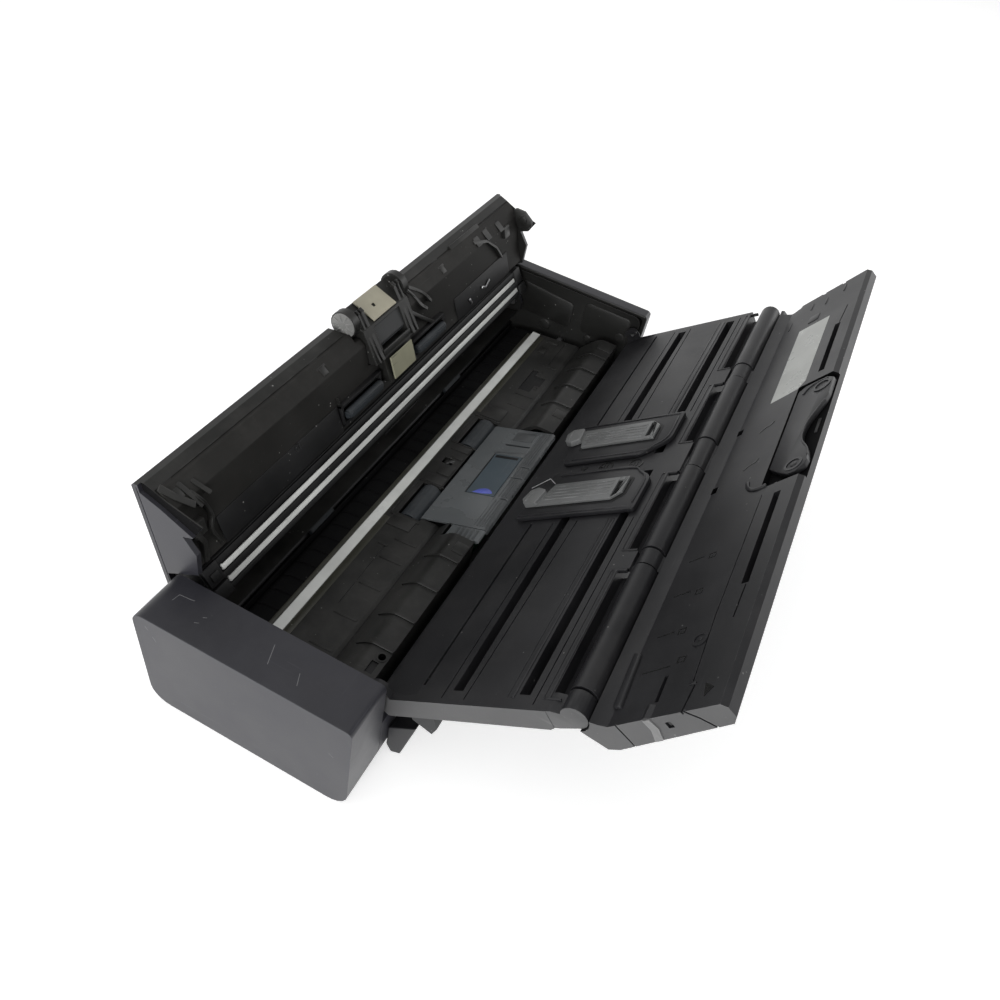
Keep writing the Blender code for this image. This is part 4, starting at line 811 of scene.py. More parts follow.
def dress_cover():
    """Dress the cover, its inner mouldings and its two glass strips."""
    cuts = []
    rebate = [(60, 9.3), (48.0, -14.0), (41.8, -9.2), (43.6, -6.6), (50.4, 2.4), (54.6, 9.3)]
    for low, high in ((121.7, 124.5), (-137.4, -134.7)):
        shape = bmesh.new()
        slab(shape, rebate, low, high, view=side_view)
        cuts.append(shape)
        seam = bmesh.new()
        slab(seam, [(2.0, 10.0), (56.6, 10.0), (56.6, 10.35), (2.0, 10.35)],
             *((122.8, 124.5) if low > 0 else (-137.4, -135.8)), view=side_view)
        cuts.append(seam)
    skin = dress("cover_skin", "case", 0.0004, 2, cuts=cuts, panel=cover_frame)
    repaint(skin, "inner", cover_frame, lambda place, normal: (
        (place.y > 55.9 and place.z < 8.6) or (121.5 > place.x > -134.6 and place.z < 10.2)))
    # Painted shade: the floors of the rebates along the cover's slanted end edges get the dead black
    repaint(skin, "painted_shade", cover_frame, lambda place, normal: (
        121.5 < place.x < 121.95 or -134.95 < place.x < -134.4))
    dress("cover_inner_plate", "lining", 0.0003)
    dress("upper_sensor_module", "sensor", 0.0003)
    add_strips()
    add_plate_details()
    add_pressure_rollers()


def add_strips():
    for node, along, tall in (("upper_scan_strip", (7.75, 10.15), 1.15),
                              ("upper_reference_strip", (2.35, 4.85), 1.0)):
        shape = bmesh.new()
        block(shape, (-125.5, 112.6), along, (-tall, 0.25), 0.5, 3)
        strip = finish_piece(node + "_glass", shape, sensor_frame, "strip", "cover")
        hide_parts(node)
    rails = bmesh.new()
    for along, tall in (((10.45, 12.9), 0.9), ((5.2, 7.5), 1.35), ((0.3, 2.1), 0.9)):
        block(rails, (-127.0, 114.0), along, (-tall, 0.2), 0.25)
    for x in ((113.4, 120.4), (-133.6, -126.4)):
        block(rails, x, (-0.2, 4.9), (-1.9, 0.3), 0.3)
        block(rails, x, (5.6, 13.2), (-1.3, 0.3), 0.3)
    block(rails, (115.2, 118.8), (7.2, 10.4), (-2.2, 0.3), 0.3)
    finish_piece("strip_rails", rails, sensor_frame, "sensor", "cover")
    edges = bmesh.new()
    for along in (10.2, 5.0):
        block(edges, (-125.0, 112.0), (along, along + 0.18), (-1.42, 0.2), 0.05)
    finish_piece("strip_edges", edges, sensor_frame, "bead", "cover")


def add_plate_details():
    clips = bmesh.new()
    for x in (116.4, 36.8, -57.6):
        slab(clips, [(53.6, 1.2), (57.2, 7.4), (56.2, 8.6), (55.2, 8.2), (51.9, 1.4)],
             x - 2.6, x + 2.6, view=side_view, edge=0.3)
        slab(clips, [(51.2, -0.9), (54.0, 1.6), (53.4, 2.2), (50.8, -0.2)],
             x - 1.6, x + 1.6, view=side_view, edge=0.2)
    for low, high, u in ((-71.5, -100.0, 57.0), (-100.8, -128.0, 55.6)):
        slab(clips, [(u - 3.2, 0.8), (u, 4.6), (u - 0.6, 5.6), (u - 3.6, 1.8)],
             high, low, view=side_view, edge=0.2)
    finish_piece("cover_clips", clips, cover_frame, "inner", "cover",
                 limits=over_guide)
    ribs = bmesh.new()
    for line, width, low in (([(120.4, 57.0), (118.0, 52.6), (114.6, 48.0)], 2.2, -4.4),
                             ([(114.2, 54.6), (113.4, 50.0), (112.2, 45.6)], 1.7, -4.2),
                             ([(109.6, 53.0), (108.6, 50.2), (107.4, 47.6)], 1.6, -4.0)):
        slab(ribs, trail(line, width), low, 0.6, edge=0.35)
    slab(ribs, trail(bend([(112.8, 51.4), (111.0, 45.4), (109.8, 39.6), (111.4, 34.7),
                           (109.1, 26.4)]), 1.1), -4.6, -1.0, edge=0.25)
    block(ribs, (113.6, 119.6), (36.0, 42.0), (-4.6, -1.0), 0.4)
    slab(ribs, trail([(120.2, 44.6), (116.4, 33.0), (117.6, 25.4)], 2.0), -5.2, -1.0, edge=0.3)
    for line, width in ((bend([(-21.4, 55.0), (-26.4, 56.4), (-30.0, 53.4), (-31.0, 48.4),
                               (-35.0, 44.6)]), 1.5),
                        (bend([(-30.6, 55.6), (-36.0, 51.6), (-38.6, 46.4)]), 1.3),
                        ([(-22.6, 48.8), (-31.2, 41.8), (-41.2, 34.6)], 1.6),
                        ([(-88.4, 52.6), (-97.8, 50.2), (-104.8, 44.4), (-111.6, 36.4)], 1.3)):
        slab(ribs, trail(line, width), -4.2, -1.0, edge=0.3)
    for x, y in (((-94.0, -89.4), (50.4, 53.8)), ((-103.4, -99.0), (50.0, 53.8)),
                 ((-121.6, -116.0), (44.0, 49.6)), ((-116.2, -112.0), (49.2, 53.0))):
        block(ribs, x, y, (-3.6, 2.6), 0.4)
    slab(ribs, trail([(35.2, 39.6), (34.5, 34.6)], 0.5), -3.5, -2.0, edge=0.15)
    finish_piece("cover_ribs", ribs, cover_frame, "inner", "cover",
                 limits=over_guide)
    lower = bmesh.new()
    for x in ((36.4, 107.6), (-118.6, -61.8)):
        slab(lower, [(25.2, -4.95), (36.2, -2.95), (36.2, -2.2), (25.2, -4.2)], *x,
             view=side_view, edge=0.15)
    finish_piece("cover_lower_band", lower, cover_frame, "sensor", "cover")
    boss = bmesh.new()
    hoop(boss, 62.6, 34.6, 1.7, 0.9, -3.5, -2.6)
    rod(boss, (62.6, 34.6, -3.1), (62.6, 34.6, -2.0), 0.8, steps=12)
    finish_piece("cover_boss", boss, cover_frame, "bead", "cover")
    leaves = bmesh.new()
    for line in ([(-73.8, 30.8), (-76.4, 27.4)], [(-87.2, 31.0), (-91.4, 29.2), (-95.6, 31.4)]):
        slab(leaves, trail(line, 1.2), -4.9, -4.3, edge=0.15)
    finish_piece("ground_leaves", leaves, cover_frame, "steel", "cover")
    hook = bmesh.new()
    slab(hook, rounded([(44.6, -2.6), (53.8, 0.4), (52.4, -6.4), (47.2, -11.4), (43.4, -8.4)], 1.4),
         -134.4, -131.8, view=side_view, edge=0.4)
    rod(hook, (-134.7, 48.6, -6.0), (-131.0, 48.6, -6.0), 2.2, steps=20, edge=0.3)
    finish_piece("cover_latch_far", hook, cover_frame, "inner", "cover")
    line = bmesh.new()
    block(line, (-21.0, 8.6), (4.6, 5.2), (-5.2, -4.6), 0.1)
    finish_piece("cover_bead", line, cover_frame, "bead", "cover")


def add_pressure_rollers():
    for side, node, low, high in (("near", "pressure_roller_near", 7.8, 33.8),
                                  ("far", "pressure_roller_far", -46.8, -20.8)):
        frames = bmesh.new()
        for y in ((26.2, 27.7), (34.7, 36.2)):
            block(frames, (low - 1.6, high + 1.6), y, (-4.7, -2.0), 0.3)
        for x in ((low - 1.6, low - 0.4), (high + 0.4, high + 1.6)):
            block(frames, x, (26.2, 36.2), (-4.7, -2.0), 0.3)
        finish_piece(f"pressure_bezel_{side}", frames, cover_frame, "sensor", "cover")
        roller = bmesh.new()
        rod(roller, (low + 0.3, 31.2, -5.2), (high - 0.3, 31.2, -5.2), 1.5, steps=28)
        rod(roller, (low + 1.0, 31.2, -5.2), (high - 1.0, 31.2, -5.2), 1.95, steps=32, edge=0.3)
        block(roller, (low + 1.6, high - 1.6), (29.9, 32.5), (-7.3, -6.3), 0.25)
        piece = finish_piece(f"pressure_roller_{side}_ribbed", roller, cover_frame,
                             "roller", f"pressure_{side}")
        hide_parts(node)


def dress_pickup():
    """Dress the pickup unit on the cover: its arms, plate, roller and end discs."""
    dress("pickup_housing", "inner", 0.0003)
    hole = bmesh.new()
    block(hole, (-6.0, -4.0), (4.6, 6.2), (-2.0, 2.0))
    dress("pickup_plate", "beige", 0.0002, cuts=(hole,), panel=pickup_face)
    dress("pickup_pad", "felt", 0.0002)
    # Painted shade: a dull black sheet at the plate's hole, standing in for the shade inside it
    dark = bmesh.new()
    block(dark, (-6.6, -3.4), (4.0, 6.8), (0.15, 0.4), 0.05)
    finish_piece("plate_hole_floor", dark, pickup_face, "sensor", "cover")
    disc = bmesh.new()
    rod(disc, (13.6, 58.6, 6.0), (14.25, 58.6, 6.0), 5.5, 5.2, steps=40)
    for step in range(9):
        angle = math.radians(12 + step * 40)
        start = Vector((math.cos(angle), math.sin(angle)))
        slab(disc, trail([(58.6 + start.x * 1.6, 6 + start.y * 1.6),
                          (58.6 + start.x * 4.9, 6 + start.y * 4.9)], 0.55),
             14.1, 14.6, view=side_view, edge=0.12)
    finish_piece("pickup_cap_near", disc, cover_frame, "cheek", "cover")
    arms = bmesh.new()
    crest = [(62.6, 3.6), (61.0, 1.4), (58.6, 0.3), (55.6, -1.0), (50.0, -3.1), (45.6, -4.8),
             (41.6, -6.3)]
    for low, high in ((4.9, 6.7), (8.0, 9.0), (-19.6, -17.9), (-22.2, -21.2)):
        slab(arms, trail(bend(crest, 3), 1.5), low, high, view=side_view, edge=0.25)
    block(arms, (-17.0, 4.0), (41.8, 44.6), (-5.9, -4.6), 0.3)
    finish_piece("pickup_arms", arms, cover_frame, "inner", "cover",
                 limits=over_separation)
    roller = bmesh.new()
    flat = Vector((0.359, -0.933))
    profile = []
    for along, height in circle(0, 0, 6.0, 96):
        over = Vector((along, height)).dot(flat) - 4.7
        if over > 0:
            along, height = Vector((along, height)) - flat * over
        profile.append((48.3 + along, 2.5 + height))
    slab(roller, profile, -17.2, 4.2, view=side_view)
    tyre = finish_piece("pickup_roller_tyre", roller, cover_frame, "shroud", "pickup")
    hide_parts("pickup_roller")
    grooves = bmesh.new()
    for step in range(24):
        angle = math.radians(step * 15)
        if math.cos(angle) * flat.x + math.sin(angle) * flat.y > 0.72:
            continue
        centre = Vector((48.3 + 5.95 * math.cos(angle), 2.5 + 5.95 * math.sin(angle)))
        rod(grooves, (-16.4, centre.x, centre.y), (3.4, centre.x, centre.y), 0.13, steps=6)
    finish_piece("pickup_roller_treads", grooves, cover_frame, "roller", "pickup")


def dress_tray():
    """Dress the tray, its marks and the frames along the hinge barrels."""
    cuts = []
    slope = bmesh.new()
    slab(slope, [(13.4, -2.83), (13.4, 1), (-7, 1), (-7, -4.4)], -134.2, 119.2, view=side_view)
    cuts.append(slope)
    fine, coarse = (0.45, -3.3), (1.0, -3.7)
    for start, end, (width, floor) in (
            ((119.6, 33.6), (29.2, 35.4), fine), ((-131.0, 33.4), (-42.0, 34.6), fine),
            ((119.6, 24.6), (29.2, 24.6), fine), ((-131.0, 24.6), (-42.0, 24.6), fine),
            ((119.6, 59.6), (30.0, 59.6), fine), ((-131.0, 59.6), (-43.0, 59.6), fine),
            ((114.6, 14.2), (28.6, 14.2), coarse), ((-131.0, 14.2), (-41.4, 14.2), coarse)):
        groove = bmesh.new()
        slab(groove, trail([start, end], width), floor, 0)
        cuts.append(groove)
    tray = dress("feed_tray", "tray", 0.0003, cuts=cuts, panel=tray_frame)
    # Painted light: the tray's end face toward the drive end gets the paler grey in place of the side lamp's sheen
    repaint(tray, "wear_and_painted_light", tray_frame, lambda place, normal: (
        normal.x > 0.9 and place.x > 119.5))
    hinge_end = bmesh.new()
    around = [math.radians(160 - step * 15) for step in range(18)]
    slab(hinge_end, [(63.0, -10.0), (63.0, -2.85), (66.4, -2.85), (69.2, -3.6)]
         + [(73.5 + 4.3 * math.cos(a), -5.1 + 4.3 * math.sin(a)) for a in around]
         + [(66.6, -10.0)], 114.4, 121.6, view=side_view, edge=0.3)
    end = finish_piece("tray_hinge_end_near", hinge_end, tray_frame, "tray", "tray")
    # Painted light: the hinge end's face toward the drive end gets the same paler grey
    repaint(end, "wear_and_painted_light", tray_frame, lambda place, normal: normal.x > 0.9)
    ridges = bmesh.new()
    for x in ((30.0, 117.6), (-130.4, -43.0)):
        block(ridges, x, (50.6, 51.9), (-3.2, -2.58), 0.2)
        block(ridges, x, (48.9, 49.4), (-3.2, -2.64), 0.1)
    for low, high in ((59.4, 117.6), (2.6, 50.1), (-64.4, -17.2), (-132.0, -76.6)):
        block(ridges, (low + 0.3, high - 0.3), (63.4, 64.5), (-3.4, -2.56), 0.2)
        block(ridges, (low + 0.3, high - 0.3), (61.9, 62.3), (-3.2, -2.62), 0.1)
        for x in (low + 0.2, high - 1.0):
            block(ridges, (x, x + 0.8), (62.2, 68.2), (-4.0, -2.56), 0.2)
    finish_piece("tray_ridges", ridges, tray_frame, "tray", "tray")
    icons = bmesh.new()
    for x, y in ((-6.6, 33.4), (-6.2, 47.2)):
        hoop(icons, x, y, 3.3, 2.75, -2.95, -2.62, steps=32)
        block(icons, (x - 1.5, x + 1.5), (y - 0.9, y - 0.5), (-2.95, -2.64))
        block(icons, (x - 1.5, x + 1.5), (y + 0.5, y + 0.9), (-2.95, -2.64))
        block(icons, (x - 0.3, x + 0.3), (y - 2.4, y - 1.4), (-2.95, -2.64))
    slab(icons, [(-8.0, 21.0), (-4.8, 22.8), (-8.0, 24.6)], -2.95, -2.64)
    finish_piece("tray_icons", icons, tray_frame, "ridge", "tray")


def dress_guides():
    """Build the two side guides with their folded fences."""
    for side, end in ((1, "near"), (-1, "far")):
        def place(x, y):
            return guides_middle + side * (x - guides_middle), y
        plate = bmesh.new()
        outline = rounded([(27.3, 5.7), (27.3, 59.0), (6.4, 59.0), (-2.6, 47.8), (-2.6, 11.8)],
                          [1.2, 1.2, 6.5, 7.5, 1.2])
        slab(plate, [place(*point) for point in outline], -2.5, -0.86, edge=0.3)
        for x, y in (((15.2, 23.2), (53.4, 56.6)), ((15.2, 23.2), (27.8, 31.0))):
            low, high = sorted((place(x[0], 0)[0], place(x[1], 0)[0]))
            block(plate, (low, high), y, (-6.83, -2.2), 0.2)
        rim = [(23.6, 57.2), (8.6, 57.2), (2.6, 53.0), (-0.6, 47.0), (-0.6, 15.4)]
        slab(plate, [place(*point) for point in trail(bend(rim, 4), 0.8)], -1.1, -0.45, edge=0.2)
        slab(plate, [place(*point) for point in trail([(25.9, 7.0), (25.9, 57.4)], 0.7)],
             -1.1, -0.5, edge=0.2)
        piece = finish_piece(f"side_guide_{end}_plate", plate, tray_frame, "tray",
                             f"guide_{end}")
        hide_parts(f"side_guide_{end}")
        # Painted shade: a thin dull black sheet under the fence that shows as a dark margin round it, standing in
        # for the shaded well
        well = bmesh.new()
        slab(well, [place(*point) for point in rounded(
            [(21.9, 12.2), (21.9, 48.4), (17.6, 52.4), (6.4, 52.6), (6.4, 15.6)], 1.0)],
            -0.9, -0.72, edge=0.08)
        finish_piece(f"guide_well_{end}", well, tray_frame, "sensor", f"guide_{end}")
        fence = bmesh.new()
        for points in ([(20.9, 12.8), (20.9, 46.9), (7.2, 46.9), (7.2, 16.9)],
                       [(20.9, 46.7), (20.9, 47.2), (17.0, 51.1), (7.2, 51.1), (7.2, 49.1),
                        (18.4, 49.1), (19.7, 46.7)],
                       [(9.0, 46.7), (9.0, 49.4), (7.2, 49.4), (7.2, 46.7)]):
            slab(fence, [place(*point) for point in points], -0.6, 0.5, edge=0.2)
        for x in (9.4, 11.5, 13.6, 15.7, 17.8):
            start = 17.6 - (x - 9.4) * 0.24
            slab(fence, [place(*point) for point in trail([(x, start), (x, 45.4)], 0.6)],
                 0.3, 0.75, edge=0.14)
        knob = rounded([(20.9, 14.0), (20.9, 8.2), (17.6, 6.2), (11.8, 7.6), (10.4, 10.8),
                        (12.4, 15.2)], 1.0)
        slab(fence, [place(*point) for point in knob], -0.5, 1.9, edge=0.5, segments=3)
        slab(fence, [place(*point) for point in trail([(12.4, 9.4), (19.6, 8.4)], 0.6)],
             1.7, 2.2, edge=0.15)
        piece = finish_piece(f"guide_fence_{end}_ribbed", fence, tray_frame, "smoke",
                             f"fence_{end}")
        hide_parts(f"guide_fence_{end}")
    wire = bmesh.new()
    rod(wire, (7.0, 4.6, -0.2), (3.6, 12.9, 1.1), 0.22, steps=10)
    rod(wire, (3.6, 12.9, 1.1), (6.2, 16.0, 0.0), 0.22, steps=10)
    finish_piece("fence_spring_near", wire, tray_frame, "steel", "guide_near")


def dress_flap():
    """Dress the flap, its marks, its blank sticker and the support arm."""
    cuts = []
    for shape_of in (
            lambda s: slab(s, [(46.8, -5.1), (48.4, -6.9), (50, -5), (47, -3)], -136, 123,
                           view=side_view),
            lambda s: slab(s, trail([(29.0, 34.3), (86.1, 33.9), (112.4, 35.0)], 0.35), -5.6, -4),
            lambda s: slab(s, trail([(113.0, 36.0), (123.0, 34.7)], 0.6), -5.9, -4),
            lambda s: slab(s, trail([(75.6, 41.2), (89.4, 40.9)], 0.5), -6.2, -4),
            lambda s: slab(s, trail([(-88.6, 41.2), (-104.0, 42.4)], 0.5), -6.2, -4),
            lambda s: slab(s, trail([(106.9, 24.2), (116.4, 24.2)], 1.3), -6.4, -4),
            lambda s: block(s, (10.8, 14.6), (8.6, 10.9), (-7.6, -3)),
            lambda s: block(s, (-27.8, -24.0), (8.6, 10.9), (-7.6, -3)),
            lambda s: slab(s, [(-136, 5.4), (-131.4, 5.4), (-131.4, 10.2), (-133.0, 13.4),
                               (-136, 14.2)], -16, -1),
            lambda s: block(s, (-136, -134.0), (24.6, 26.4), (-16, -1)),
            lambda s: block(s, (-136, -133.6), (34.6, 36.4), (-16, -1)),
            lambda s: slab(s, trail([(11.8, -3.0), (12.1, -16)], 0.5), 121.6, 123, view=side_view),
            lambda s: slab(s, trail([(34.6, -4.0), (38.4, -8.2), (42.2, -14.0)], 0.6), 121.4, 123,
                           view=side_view),
            lambda s: block(s, (121.0, 123), (27.4, 29.4), (-9.6, -7.4))):
        shape = bmesh.new()
        shape_of(shape)
        cuts.append(shape)
    flap = dress("tray_flap", "tray", 0.0003, cuts=cuts, panel=flap_frame)
    # Painted shade: the walls and floor of the recess under the support arm, bar its chamfer, and the walls of the
    # two small holes get the dead black
    repaint(flap, "painted_shade", flap_frame, lambda place, normal: (
        -7.9 < place.z < -5.7 and -42.2 < place.x < 25.2 and 32.2 < place.y < 48.1
        and not 0.3 < normal.z < 0.95)
        or (-8.2 < place.z < -5.4 and 8 < place.y < 11.2 and -30 < place.x < 16))
    # Painted light: the flap's end face toward the drive end gets the paler grey in place of the side lamp's sheen
    repaint(flap, "wear_and_painted_light", flap_frame, lambda place, normal: (
        normal.x > 0.9 and place.x > 120.5))
    marks = bmesh.new()
    slab(marks, [(115.7, 8.4), (116.1, 11.7), (95.2, 10.3), (94.0, 7.2)], -6.0, -3.9, edge=0.6,
         segments=3)
    hoop(marks, 95.1, 31.6, 2.7, 1.9, -5.3, -4.75, steps=32)
    rod(marks, (95.1, 31.6, -5.4), (95.1, 31.6, -4.85), 0.7, steps=14, edge=0.15)
    icons = bmesh.new()
    slab(icons, [(113.3, 39.7), (115.2, 42.9), (118.0, 40.6)], -5.3, -4.95)
    for line in ([(103.6, 13.6), (103.2, 23.9)], [(88.9, 13.6), (88.5, 19.9)],
                 [(70.8, 13.0), (70.6, 19.5)], [(54.0, 13.0), (53.8, 19.0)]):
        slab(icons, trail(line, 0.4), -5.3, -4.98)
    for x, y in ((101.6, 27.4), (89.1, 22.9), (72.1, 23.2), (54.6, 22.6)):
        for start, end in (((-1.0, -1.2), (-1.0, 1.2)), ((1.0, -1.2), (1.0, 1.2)),
                           ((-1.15, -1.2), (1.15, -1.2)), ((-1.15, 1.2), (1.15, 1.2))):
            line = [(x + start[0], y + start[1]), (x + end[0], y + end[1])]
            slab(icons, trail(line, 0.34), -5.3, -4.99)
    for x, y in ((-20.1, 23.3), (4.6, 22.9)):
        slab(icons, trail(bend([(x + 2.2, y - 2.6), (x + 1.0, y - 1.2), (x - 0.2, y + 0.2),
                                (x - 0.4, y + 1.8), (x - 2.2, y + 2.8)]), 0.55), -5.3, -4.9)
    finish_piece("flap_icons", icons, flap_frame, "ridge", "flap")
    slab(marks, trail(bend([(17.2, 25.4), (21.6, 26.8), (24.2, 30.4), (23.9, 34.6)]), 1.5),
         -5.6, -4.5, edge=0.4)
    block(marks, (112.0, 112.9), (34.2, 36.4), (-5.4, -4.7), 0.2)
    for x, y in (((-128.6, -122.4), (20.6, 21.4)), ((-126.4, -120.0), (28.4, 29.1)),
                 ((-118.2, -110.4), (11.6, 12.2)), ((-130.8, -124.0), (36.8, 37.6)),
                 ((-112.6, -106.4), (22.6, 27.6))):
        block(marks, x, y, (-5.4, -4.8), 0.15)
    finish_piece("flap_marks", marks, flap_frame, "tray", "flap")
    clip = bmesh.new()
    slab(clip, rounded(
        [(19.4, -12.6), (25.4, -12.6), (25.0, -5.2), (22.6, -4.5), (20.4, -5.4)], 0.8),
         117.2, 121.97, view=side_view, edge=0.25)
    finish_piece("flap_clip", clip, flap_frame, "tray", "flap")
    leaf = bmesh.new()
    slab(leaf, [(20.0, -13.1), (22.8, -13.1), (24.4, -9.0), (23.9, -5.2), (21.6, -5.2),
                (21.8, -8.8)], 121.6, 122.4, view=side_view, edge=0.12)
    finish_piece("flap_clip_leaf", leaf, flap_frame, "clip", "flap")
    sticker = bmesh.new()
    slab(sticker, [(-39.8, 20.0), (-102.6, 19.2), (-102.4, 34.2), (-45.8, 34.4), (-41.2, 32.0)],
         -5.12, -5.03)
    finish_piece("blank_sticker", sticker, flap_frame, "label", "flap")
    build_arm()


def build_arm():
    contour = [(-40.6, 35.6), (-38.2, 32.8), (13.4, 32.8), (19.2, 38.4), (21.4, 41.4), (21.4, 44.6),
               (19.2, 47.4), (16.4, 47.9)]
    waist = bend([(14.0, 47.6), (9.0, 46.4), (2.6, 43.2), (-3.4, 42.0), (-10.0, 42.6),
                  (-16.6, 45.0), (-22.0, 47.2)], 4)
    shape = bmesh.new()
    slab(shape, contour + waist + [(-26.0, 47.8), (-37.6, 47.8), (-40.6, 44.6)], -7.35, -5.3,
         edge=0.3)
    hoop(shape, 16.8, 43.0, 3.4, 2.5, -5.5, -5.0, steps=32)
    rod(shape, (16.8, 43.0, -5.6), (16.8, 43.0, -5.05), 1.3, steps=20, edge=0.2)
    block(shape, (16.1, 17.5), (42.8, 43.2), (-5.2, -4.95))
    hoop(shape, -34.6, 43.6, 3.6, 2.7, -5.5, -5.0, steps=32)
    slab(shape, trail(bend([(-38.6, 45.4), (-39.4, 41.0), (-37.6, 37.4), (-34.0, 35.6)]), 0.8),
         -5.5, -5.0, edge=0.2)
    slab(shape, trail(waist, 0.7), -5.5, -5.05, edge=0.2)
    piece = finish_piece("support_arm_shaped", shape, flap_frame, "tray", "arm")
    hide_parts("support_arm")
    screw = bmesh.new()
    rod(screw, (22.6, 36.4, -7.7), (22.6, 36.4, -6.6), 1.2, steps=20, edge=0.2)
    finish_piece("arm_screw", screw, flap_frame, "screw", "flap")
    # Painted shade: a dull black strip in the finger scoop between the arm's waist and the flap's edge
    scoop_shade = bmesh.new()
    block(scoop_shade, (-12.6, -3.4), (45.2, 46.4), (-7.8, -7.2), 0.2)
    finish_piece("arm_scoop_shade", scoop_shade, flap_frame, "sensor", "flap")


# The stage

def area_lamp(name, place, target, width, depth, power):
    lamp = bpy.data.lights.new(name, "AREA")
    lamp.shape = "RECTANGLE"
    lamp.size = width
    lamp.size_y = depth
    lamp.energy = power
    thing = bpy.data.objects.new(name, lamp)
    bpy.context.scene.collection.objects.link(thing)
    aim = (Vector(target) - Vector(place)).to_track_quat("-Z", "Y")
    thing.matrix_world = Matrix.Translation(place) @ aim.to_matrix().to_4x4()


def seen_directly(tree):
    """One where the camera, a gloss or a clear surface looks at the stage, and zero elsewhere."""
    rays = add_node(tree, "LightPath").outputs
    seen = math_node(tree, "MAXIMUM", rays["Is Camera Ray"], rays["Is Glossy Ray"])
    return math_node(tree, "MAXIMUM", seen, rays["Is Transmission Ray"])


def build_floor(settings):
    """A pale floor that is white where it is seen directly and keeps its shadow."""
    shape = bmesh.new()
    bmesh.ops.create_grid(shape, x_segments=1, y_segments=1, size=3.0)
    mesh = bpy.data.meshes.new("floor")
    shape.to_mesh(mesh)
    shape.free()
    link("floor", mesh)
    pale = bpy.data.materials.new("Pale floor")
    pale.use_nodes = True
    tree = pale.node_tree
    lift = math_node(tree, "MULTIPLY", seen_directly(tree), settings.floor_lift)
    for label, value in (("Base Color", (*settings.floor, 1.0)), ("Roughness", 0.9),
                         ("Specular IOR Level", 0.1), ("Emission Color", (1, 1, 1, 1)),
                         ("Emission Strength", lift)):
        feed(tree, tree.nodes["Principled BSDF"].inputs[label], value)
    mesh.materials.append(pale)


def build_world(scene, settings):
    """Pale walls, a dim ceiling, and a white backdrop where it is seen directly."""
    scene.world = bpy.data.worlds.new("Studio")
    scene.world.use_nodes = True
    tree = scene.world.node_tree
    background = tree.nodes["Background"].inputs
    background["Color"].default_value = (1, 1, 1, 1)
    place = add_node(tree, "TexCoord").outputs["Generated"]
    height = add_node(tree, "SeparateXYZ", {"Vector": place}).outputs["Z"]
    overhead = ramp(tree, height, 0.30, 0.75)
    strength = math_node(
        tree, "MULTIPLY_ADD", overhead, settings.ceiling - settings.walls, settings.walls)
    backdrop = math_node(tree, "SUBTRACT", 1.0, ramp(tree, height, 0.42, 0.60), clamp=True)
    white = math_node(tree, "MULTIPLY", seen_directly(tree), backdrop)
    feed(tree, background["Strength"], math_node(tree, "MAXIMUM", strength, white))


def build_camera(scene):
    """The photo's camera, turned by its yaw, pitch and roll."""
    yaw, pitch, roll = (math.radians(angle) for angle in (106.17, 45.30, 13.99))
    forward = Vector((
        -math.sin(yaw) * math.cos(pitch), math.cos(yaw) * math.cos(pitch), -math.sin(pitch)))
    level = forward.cross(Vector((0, 0, 1))).normalized()
    upright = level.cross(forward)
    right = level * math.cos(roll) + upright * math.sin(roll)
    up = upright * math.cos(roll) - level * math.sin(roll)
    lens = bpy.data.cameras.new("camera")
    lens.sensor_width = 36.0
    lens.lens = 30.12
    camera = bpy.data.objects.new("camera", lens)
    scene.collection.objects.link(camera)
    turn = Matrix((right, up, -forward)).transposed().to_4x4()
    camera.matrix_world = Matrix.Translation((0.2523, 0.1004, 0.2859)) @ turn
    scene.camera = camera


def build_stage(scene):
    settings = scene.scanner_stage
    scene.view_settings.view_transform = "Standard"
    build_floor(settings)
    build_world(scene, settings)
    area_lamp("key_lamp", (0.35, -0.25, 1.1), (0, 0, 0.03), 1.2, 1.2, settings.key_light)
    area_lamp("side_lamp", (1.2, 0.25, 0.30), (0, 0, 0.03), 0.8, 0.5, settings.side_light)
    area_lamp("far_lamp", (-1.1, 0.75, 0.55), (-0.08, 0.06, 0.06), 0.7, 0.5, settings.far_light)
    build_camera(scene)


# What a user would change

def colour_property(name, description, default):
    return FloatVectorProperty(name=name, description=description, subtype="COLOR", size=3,
                               min=0.0, max=1.0, default=default)


def lamp_property(name, description, default):
    return FloatProperty(name=name, description=description, default=default, min=0.0,
                         unit="POWER")


class ScannerColours(bpy.types.PropertyGroup):
    case: colour_property("Case", "Satin outer case and end caps", (0.014, 0.014, 0.019))
    inner: colour_property(
        "Inner mouldings", "Black plastic of the paper path", (0.0115, 0.0115, 0.0108))
    tray: colour_property(
        "Tray and flap", "Fine grained black of the tray and its flap", (0.0105, 0.0105, 0.012))
    strip: colour_property(
        "Scan strips", "Pale strips over the light guides", (0.62, 0.63, 0.61))
    separation: colour_property(
        "Separation cover", "Smoke grey plate in front of the tray", (0.100, 0.107, 0.111))


class ScannerStage(bpy.types.PropertyGroup):
    floor: colour_property("Floor", "Pale floor under the scanner", (0.86, 0.86, 0.86))
    floor_lift: FloatProperty(
        name="Floor lift", description="Brings the floor to white where it is seen directly",
        default=0.50, min=0.0, max=1.0)
    walls: FloatProperty(
        name="Wall light", description="Level of the pale studio walls", default=0.72, min=0.0)
    ceiling: FloatProperty(
        name="Ceiling light", description="Level of the dim studio ceiling", default=0.36, min=0.0)
    key_light: lamp_property("Key light", "Power of the large soft lamp overhead", 4.2)
    side_light: lamp_property("Side light", "Power of the soft lamp beside the drive end", 9.0)
    far_light: lamp_property("Far light", "Power of the soft lamp behind the far end", 2.0)


# Operators

